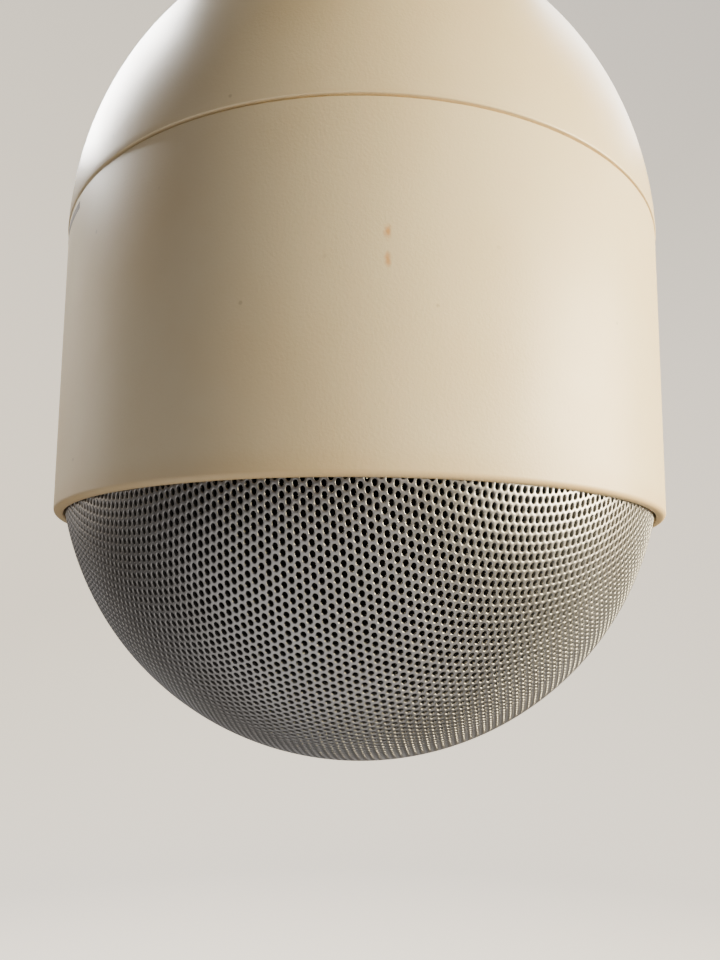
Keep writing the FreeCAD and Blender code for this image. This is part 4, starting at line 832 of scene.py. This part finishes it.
    def sector(self, index: int, centres: np.ndarray) -> Piece:
        """One sixth of the perforated sheet.

        Args:
            index: Which sixth.
            centres: The flat centres of its holes.

        Returns:
            The sector as one object.
        """
        rings = self.rings()
        blocks = [self.lift((centres[:, None, :] + ring[None]).reshape(-1, 2), depth).reshape(len(centres), -1, 3)
                  for ring, depth, _ in rings]
        verts = np.concatenate(blocks, axis=1)
        per_cell = verts.shape[1]
        template = self.cell_faces()
        faces = [tuple(c * per_cell + v for v in face) for c in range(len(centres)) for face in template]
        piece = new_piece(f"grille_sector_{index + 1}", verts.reshape(-1, 3), faces, GRILLE_LACQUER)
        self.unwrap(piece, centres, rings)
        self.weld(piece)
        return settle(piece, "housing", "grille_steel", "grille")

    def weld(self, piece: Piece) -> None:
        """Joins neighbouring cells where their hexagons meet, and shades the sheet smooth."""
        sheet = bmesh.new()
        sheet.from_mesh(piece.data)
        bmesh.ops.remove_doubles(sheet, verts=sheet.verts, dist=0.02 * MM)
        sheet.to_mesh(piece.data)
        sheet.free()
        piece.data.shade_smooth()
        piece.data.set_sharp_from_angle(angle=math.radians(50))

    def unwrap(self, piece: Piece, centres: np.ndarray,
               rings: list[tuple[np.ndarray, float, float]]) -> None:
        """Gives the sheet a flat map: the front at the left, the back at the right, walls inside the holes."""
        reach = max(float(np.ptp(centres[:, 0])), float(np.ptp(centres[:, 1]))) + 2
        flat = [centres[:, None, :] + (ring * share)[None] for ring, _, share in rings]
        front = np.concatenate(flat, axis=1).reshape(-1, 2) / (2.1 * reach)
        middle = (front.min(axis=0) + front.max(axis=0)) / 2
        layer = piece.data.uv_layers.new(name="OFBake")
        per_cell = sum(len(ring) for ring, _, _ in rings)
        back_start = per_cell - 6
        corner = np.zeros(len(piece.data.loops), dtype=np.int64)
        piece.data.loops.foreach_get("vertex_index", corner)
        uv = front[corner] - middle
        starts = np.zeros(len(piece.data.polygons), dtype=np.int64)
        totals = np.zeros(len(piece.data.polygons), dtype=np.int64)
        piece.data.polygons.foreach_get("loop_start", starts)
        piece.data.polygons.foreach_get("loop_total", totals)
        owner = np.repeat(np.arange(len(starts)), totals)
        is_back = np.zeros(len(starts), dtype=bool)
        np.logical_or.at(is_back, owner, corner % per_cell >= back_start)
        behind = is_back[owner]
        uv[:, 0] = np.where(behind, uv[:, 0] + 0.75, uv[:, 0] + 0.25)
        uv[:, 1] += 0.5
        layer.data.foreach_set("uv", uv.astype(np.float32).ravel())

    def hem(self) -> Piece:
        """The plain top of the skirt and the flange that the retaining ring clamps."""
        top = self.skirt
        low = top - self.blank_hem
        t = self.thickness
        corners = [
            (self.radius, low, 0.0), (self.radius, top, 0.6), (self.radius - self.flange_width, top, 0.2),
            (self.radius - self.flange_width, top - t, 0.2), (self.radius - t, top - t, 0.3),
            (self.radius - t, low, 0.0),
        ]
        outline = [(r, z + self.rim_z / MM) for r, z in rounded(corners, 4)]
        piece = lathe("grille_hem", outline, GRILLE_LACQUER, segments=240)
        return settle(piece, "housing", "grille_steel", "grille")

    def build(self) -> list[Piece]:
        """Makes the perforated sectors and the hem."""
        centres = self.cells()
        turn = np.arctan2(centres[:, 1], centres[:, 0]) + math.pi
        which = np.minimum((turn / (2 * math.pi / self.sectors)).astype(int), self.sectors - 1)
        pieces = [self.sector(k, centres[which == k]) for k in range(self.sectors)]
        LOG.info("grille: %d holes", len(centres))
        return [*pieces, self.hem()]


@dataclass
class FoamLiner:
    """Black foam that lies inside the grille. Sizes in millimetres, heights from the rim."""

    rim_z: float
    ball: float
    centre: float
    top: float = -4.0
    gap: float = 1.3
    thickness: float = 4.0

    def build(self) -> Piece:
        """Makes the liner as a ball's lower part, a little uneven as cut foam is."""
        outline: list[Point] = []
        outer, inner = self.ball - self.gap - 0.15, self.ball - self.gap - self.thickness + 0.2
        steps = 64
        for radius, forward in ((outer, True), (inner, False)):
            limit = math.acos((self.centre - self.top) / radius)
            for k in range(steps + 1):
                a = limit * (k if forward else steps - k) / steps
                outline.append((max(radius * math.sin(a), 0.02), self.centre - radius * math.cos(a)))
        placed = [(r, z + self.rim_z / MM) for r, z in outline]
        piece = lathe("foam_liner", placed, BLACK_FOAM, segments=160)
        return settle(piece, "housing", "foam", "grille_foam")


@dataclass
class Wadding:
    """Loose polyester fibre that damps the inside of the body. Sizes in millimetres."""

    low: tuple[float, float, float]
    high: tuple[float, float, float]
    thickness: float = 17.0
    waves: int = 6
    bulge: float = 1.6
    seed: int = 7

    def build(self) -> Piece:
        """Makes a soft ring with uneven bulges inside the CAD ring's space."""
        outer = self.high[0] - 0.6
        low, high = self.low[2] + 0.5, self.high[2] - 0.5
        corners = [(outer, low, 5.0), (outer, high, 5.0), (outer - self.thickness, high, 6.0),
                   (outer - self.thickness, low, 6.0)]
        piece = lathe("wadding_ring", rounded(corners, 8), WADDING, segments=160)
        phase = np.random.default_rng(self.seed).uniform(0, 2 * math.pi, self.waves)
        mesh = piece.data
        co = np.zeros(len(mesh.vertices) * 3)
        mesh.vertices.foreach_get("co", co)
        co = co.reshape(-1, 3)
        turn = np.arctan2(co[:, 1], co[:, 0])
        wave = sum(np.sin((5 + 3 * k) * turn + phase[k] + 90 * co[:, 2] * k) for k in range(self.waves))
        radius = np.linalg.norm(co[:, :2], axis=1)
        inward = (outer * MM - radius) / (self.thickness * MM)
        scale = 1 + inward * wave / self.waves * self.bulge * MM / radius
        co[:, :2] *= scale[:, None]
        mesh.vertices.foreach_set("co", co.ravel())
        mesh.update()
        return settle(piece, "housing", "wadding", "damping_wadding")


# ---------------------------------------------------------------- suspension


@dataclass
class Suspension:
    """The forged eye and the hub under it. Sizes in millimetres, about the eye's centre."""

    collar_low: float
    shank_low: float
    bore: float = 8.0
    outer: float = 14.0
    thickness: float = 8.0
    collar_radius: float = 9.0
    collar_height: float = 3.0
    neck_radius: float = 5.0
    shank_radius: float = 4.0

    def eye(self) -> Piece:
        """The eye: a rounded ring on a neck and collar, with the threaded shank below."""
        half = self.thickness / 2
        ring = rounded([(self.bore, -half, 1.2), (self.outer, -half, 2.6), (self.outer, half, 2.6),
                        (self.bore, half, 1.2)], 6)
        hoop = lathe("eye_ring", ring, ZINC_PLATE, segments=96)
        hoop.data.transform(Matrix.Rotation(math.pi / 2, 4, "X"))
        low = self.collar_low
        collar_top = low + self.collar_height
        neck_top = -self.bore - 1.4
        stem = rounded([
            (0.02, self.shank_low, 0.0), (self.shank_radius - 0.6, self.shank_low, 0.0),
            (self.shank_radius, self.shank_low + 0.6, 0.0), (self.shank_radius, low, 0.0),
            (self.collar_radius, low, 0.5), (self.collar_radius, collar_top, 0.8),
            (self.neck_radius + 0.6, collar_top, 1.5), (self.neck_radius + 0.6, neck_top, 0.6), (0.02, neck_top, 0.0),
        ], 5)
        post = lathe("eye_stem", self.threaded(stem, low), ZINC_PLATE, segments=96)
        settle(post, "housing", "zinc_steel", "eye_bolt")
        return settle(hoop, "housing", "zinc_steel", "eye_bolt")

    def threaded(self, outline: list[Point], top: float) -> list[Point]:
        """Cuts thread grooves into the straight shank of an outline.

        Args:
            outline: The stem's points.
            top: Height where the thread ends.

        Returns:
            The outline with a groove each 1.25 mm, the pitch of M8.
        """
        start = self.shank_low + 0.8
        pitch = 1.25
        turns = int((top - 0.6 - start) / pitch)
        thread: list[Point] = []
        for k in range(turns):
            z = start + k * pitch
            thread += [(self.shank_radius - 0.55, z + 0.3), (self.shank_radius, z + 0.9)]
        cut = next(i for i, (r, z) in enumerate(outline) if r == self.shank_radius and z > self.shank_low)
        return outline[:cut + 1] + thread + outline[cut + 1:]


# ---------------------------------------------------------------- inner parts


@dataclass
class DriverSuspension:
    """The driver's soft parts. Each ring is cut in sectors.

    Sizes are in millimetres, heights in the frame's own.
    """

    nodes: dict[str, Piece]
    surround_outer: float
    surround_top: float
    spider_outer: float
    spider_top: float
    surround_sectors: int = 48
    spider_sectors: int = 16
    segments: int = 192
    surround_width: float = 10.0
    surround_foot: float = 3.0
    surround_lap: float = 2.0
    surround_sheet: float = 0.7
    spider_inner: float = 13.35
    spider_flat: float = 2.0
    spider_wave_end: float = 32.0
    spider_waves: int = 4
    spider_wave_height: float = 1.0
    spider_sheet: float = 0.6
    strip_angle: float = 135.0
    tinsel_span: tuple[float, float] = (24.5, 44.0)

    def bend(self, piece: Piece, slot: str, node: str, way: Vector, span: Point) -> None:
        """Bakes a piece's transform and hides the CAD node that it stands for.

        Args:
            piece: The piece, finished.
            slot: Not used.
            node: The CAD node that it stands for.
            way: Not used.
            span: Not used.
        """
        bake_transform(piece)
        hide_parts(node)

    def ring(self, node: str, slot: str, finish: Finish, outline: Sequence[Point], span: Point,
             sectors: int) -> None:
        """Makes a ring of sectors.

        Args:
            node: The CAD node that it stands for.
            slot: Not used.
            finish: What it is made of.
            outline: Radius and height of each point.
            span: Not used.
            sectors: How many pieces it is cut in.
        """
        half = math.pi / sectors
        for k in range(sectors):
            middle = 2 * half * k
            piece = lathe(f"{node}_sector_{k + 1}", outline, finish, self.segments // sectors,
                          sweep=(middle - half, middle + half))
            way = Vector((math.sin(middle), -math.cos(middle), 0))
            self.bend(piece, slot, node, way, (span[0], span[1] * math.cos(half)))

    def surround(self) -> None:
        """The rubber half-roll between the cone's edge and the basket, bulging to the front."""
        top, sheet = self.surround_top, self.surround_sheet
        low = top - sheet
        edge = self.surround_outer - self.surround_width + self.surround_lap
        inner_foot = edge - self.surround_lap / 2
        outer_foot = self.surround_outer - self.surround_foot
        middle, roll = (edge + outer_foot) / 2, (outer_foot - edge) / 2
        outline: list[Point] = [(inner_foot, top), (inner_foot, low)]
        turns = np.linspace(math.pi, 2 * math.pi, 17)
        outline += [(middle + (roll + sheet / 2) * math.cos(a), low + (roll + sheet / 2) * math.sin(a))
                    for a in turns]
        outline += [(self.surround_outer, low), (self.surround_outer, top), (outer_foot - sheet / 2, top)]
        outline += [(middle + (roll - sheet / 2) * math.cos(a), low + (roll - sheet / 2) * math.sin(a))
                    for a in turns[::-1]]
        outline.append((edge + sheet / 2, top))
        self.ring("surround", "rubber", RUBBER, outline, (edge + sheet / 2, outer_foot - sheet / 2),
                  self.surround_sectors)

    def spider(self) -> None:
        """The corrugated cloth disc between the former and the basket's shelf."""
        first = self.spider_inner + self.spider_flat
        steps = 16 * self.spider_waves
        crest: list[Point] = [(self.spider_inner, self.spider_top)]
        for i in range(steps + 1):
            drop = self.spider_wave_height * (1 - math.cos(2 * math.pi * self.spider_waves * i / steps))
            crest.append((first + (self.spider_wave_end - first) * i / steps, self.spider_top - drop))
        crest.append((self.spider_outer, self.spider_top))
        outline = crest + [(r, z - self.spider_sheet) for r, z in reversed(crest)]
        self.ring("spider", "spider_cloth", SPIDER_CLOTH, outline, (first, self.spider_wave_end),
                  self.spider_sectors)

    def tinsel(self) -> None:
        """The two braided leads between the cone and the terminal strip."""
        source = self.nodes["tinsel_leads"]
        piece = bpy.data.objects.new("tinsel_braids", source.data.copy())
        piece.matrix_world = source.matrix_world.copy()
        bpy.context.scene.collection.objects.link(piece)
        piece.data.materials.clear()
        piece.data.materials.append(TINSEL_BRAID.build())
        turn = math.radians(self.strip_angle)
        self.bend(piece, "tinsel", "tinsel_leads", Vector((math.cos(turn), math.sin(turn), 0)), self.tinsel_span)


@dataclass
class InnerParts:
    """CAD nodes that keep their shape and get a finish."""

    nodes: dict[str, Piece]

    def dress(self) -> None:
        """Gives each node its own finish."""
        for name, finish in FINISH_OF_NODE.items():
            node = self.nodes[name]
            node.data.materials.clear()
            node.data.materials.append(finish.build())
            LOG.info("%s: %s", name, finish.name)

    def dress_hub(self, finish: Finish) -> None:
        """Gives the top hub the dome's plastic."""
        hub = self.nodes["top_hub"]
        hub.data.materials.clear()
        hub.data.materials.append(finish.build())


# ---------------------------------------------------------------- studio


@dataclass
class Studio:
    """Floor, surround, lights and camera. Distances in metres unless named otherwise."""

    rim_z: float
    rim_radius: float = 0.098
    focal_px: float = 742.4
    frame_px: float = 960.0
    sensor_mm: float = 36.0
    pitch: float = 0.190
    roll: float = 0.0079
    yaw: float = -0.0035
    camera_back: float = 2.599
    camera_down: float = 0.319
    floor_drop: float = 0.62

    def camera(self) -> None:
        """Sets the camera below the rim, looking up along +Y."""
        data = bpy.data.cameras.new("camera")
        data.sensor_width = self.sensor_mm
        data.lens = self.focal_px * self.sensor_mm / self.frame_px
        data.clip_start = 0.01
        camera = bpy.data.objects.new("camera", data)
        turn = Matrix.Rotation(self.yaw, 4, "Z")
        aim = turn @ Matrix.Rotation(math.pi / 2 + self.pitch, 4, "X") @ Matrix.Rotation(self.roll, 4, "Z")
        back, down = self.camera_back * self.rim_radius, self.camera_down * self.rim_radius
        spot = turn @ Vector((0, -back, self.rim_z - down))
        camera.matrix_world = Matrix.Translation(spot) @ aim
        bpy.context.scene.collection.objects.link(camera)
        bpy.context.scene.camera = camera

    def surround(self) -> None:
        """A pale floor that curves up into a round wall, with a ceiling, as a plain ground for every view."""
        floor = self.rim_z - self.floor_drop
        radius, bend, height = 2.6, 0.9, 9.0
        outline: list[Point] = [(0.001, floor)]
        outline += [(radius - bend + bend * math.sin(a), floor + bend * (1 - math.cos(a)))
                    for a in np.linspace(0, math.pi / 2, 24)]
        outline += [(radius, floor + height), (0.001, floor + height)]
        segments = 96
        turns = np.linspace(0, 2 * math.pi, segments, endpoint=False)
        verts = np.array([(r * math.cos(a), r * math.sin(a), z) for a in turns for r, z in outline])
        size = len(outline)
        faces = []
        for i in range(segments):
            here, after = i * size, (i + 1) % segments * size
            faces += [(here + j, after + j, after + j + 1, here + j + 1) for j in range(size - 1)]
        piece = new_piece("pale_surround", verts, faces, WallPaint("matt_wall_paint", "#E9E2D7", 0.9))
        piece.data.shade_smooth()
        piece.visible_shadow = piece.visible_diffuse = piece.visible_glossy = False

    def light(self, name: str, place: Vector, size: float, power: float, colour: str) -> None:
        """Adds a square soft light that faces the object.

        Args:
            name: The light's name.
            place: Where it stands, in metres.
            size: Its side.
            power: Its power, in watts.
            colour: Its colour, as sRGB hex.
        """
        data = bpy.data.lights.new(name, "AREA")
        data.size = size
        data.energy = power
        data.color = linear(colour)[:3]
        lamp = bpy.data.objects.new(name, data)
        target = Vector((0, 0, self.rim_z + 0.04))
        lamp.matrix_world = Matrix.Translation(place) @ (target - place).to_track_quat("-Z", "Y").to_matrix().to_4x4()
        bpy.context.scene.collection.objects.link(lamp)

    def lights(self) -> None:
        """A window behind at the left, a broad soft light at the right and a small fill near the camera."""
        for name, x, y, height, size, power, colour in (
            ("softbox_right", 1.37, -0.34, 0.12, 0.9, 112.0, "#FFEEC6"),
            ("window_back_left", -0.83, 0.64, 1.15, 0.58, 60.0, "#F3F0EC"),
            ("window_back_right", 0.77, 0.65, 1.16, 0.6, 12.0, "#EDF3FF"),
            ("wall_left", -1.27, 0.50, 0.30, 0.8, 3.2, "#FBEEDF"),
            ("floor_bounce", -0.12, -0.25, -0.58, 1.1, 3.4, "#F1EDEA"),
            ("fill_front", 0.30, -1.0, -0.05, 0.16, 0.6, "#FFF6EA"),
        ):
            self.light(name, Vector((x, y, self.rim_z + height)), size, power, colour)
        world = bpy.data.worlds.new("studio_air")
        world.use_nodes = True
        shade = world.node_tree.nodes["Background"]
        shade.inputs["Color"].default_value = linear("#E4DEDD")
        shade.inputs["Strength"].default_value = 0.15
        bpy.context.scene.world = world


def main() -> None:
    """Builds every sub-assembly in order."""
    logging.basicConfig(level=logging.INFO, format="%(name)s %(message)s")
    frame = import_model()
    shell_low, shell_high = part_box("lower_shell")
    dome_low, dome_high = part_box("dome_cover")
    grille_low, grille_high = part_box("grille")
    studio = Studio(rim_z=shell_low.z)
    studio.camera()
    studio.surround()
    studio.lights()
    shells = Shells(rim_z=shell_low.z, seam_radius=shell_high.x / MM, seam=(dome_low.z - shell_low.z) / MM,
                    crown_edge=(dome_high.z - shell_low.z) / MM)
    shells.body()
    shells.dome()
    shells.printed_bar()
    grille = Grille(rim_z=shell_low.z, radius=grille_high.x / MM, drop=(shell_low.z - grille_low.z) / MM,
                    skirt=(grille_high.z - shell_low.z) / MM)
    grille.build()
    FoamLiner(rim_z=shell_low.z, ball=grille.ball, centre=grille.centre).build()
    wadding_low, wadding_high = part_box("damping_wadding")
    Wadding(low=tuple(v / MM for v in wadding_low), high=tuple(v / MM for v in wadding_high)).build()
    Suspension(collar_low=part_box("eye_washers")[1].z / MM, shank_low=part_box("eye_bolt")[0].z / MM).eye()
    surround_high, spider_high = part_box("surround")[1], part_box("spider")[1]
    suspension = DriverSuspension(
        frame["nodes"], surround_outer=surround_high.x / MM, surround_top=surround_high.z / MM,
        spider_outer=spider_high.x / MM, spider_top=spider_high.z / MM)
    suspension.surround()
    suspension.spider()
    suspension.tinsel()
    inner = InnerParts(frame["nodes"])
    inner.dress()
    inner.dress_hub(shells.finish("aged_abs_hub", False))


if __name__ == "__main__":
    main()
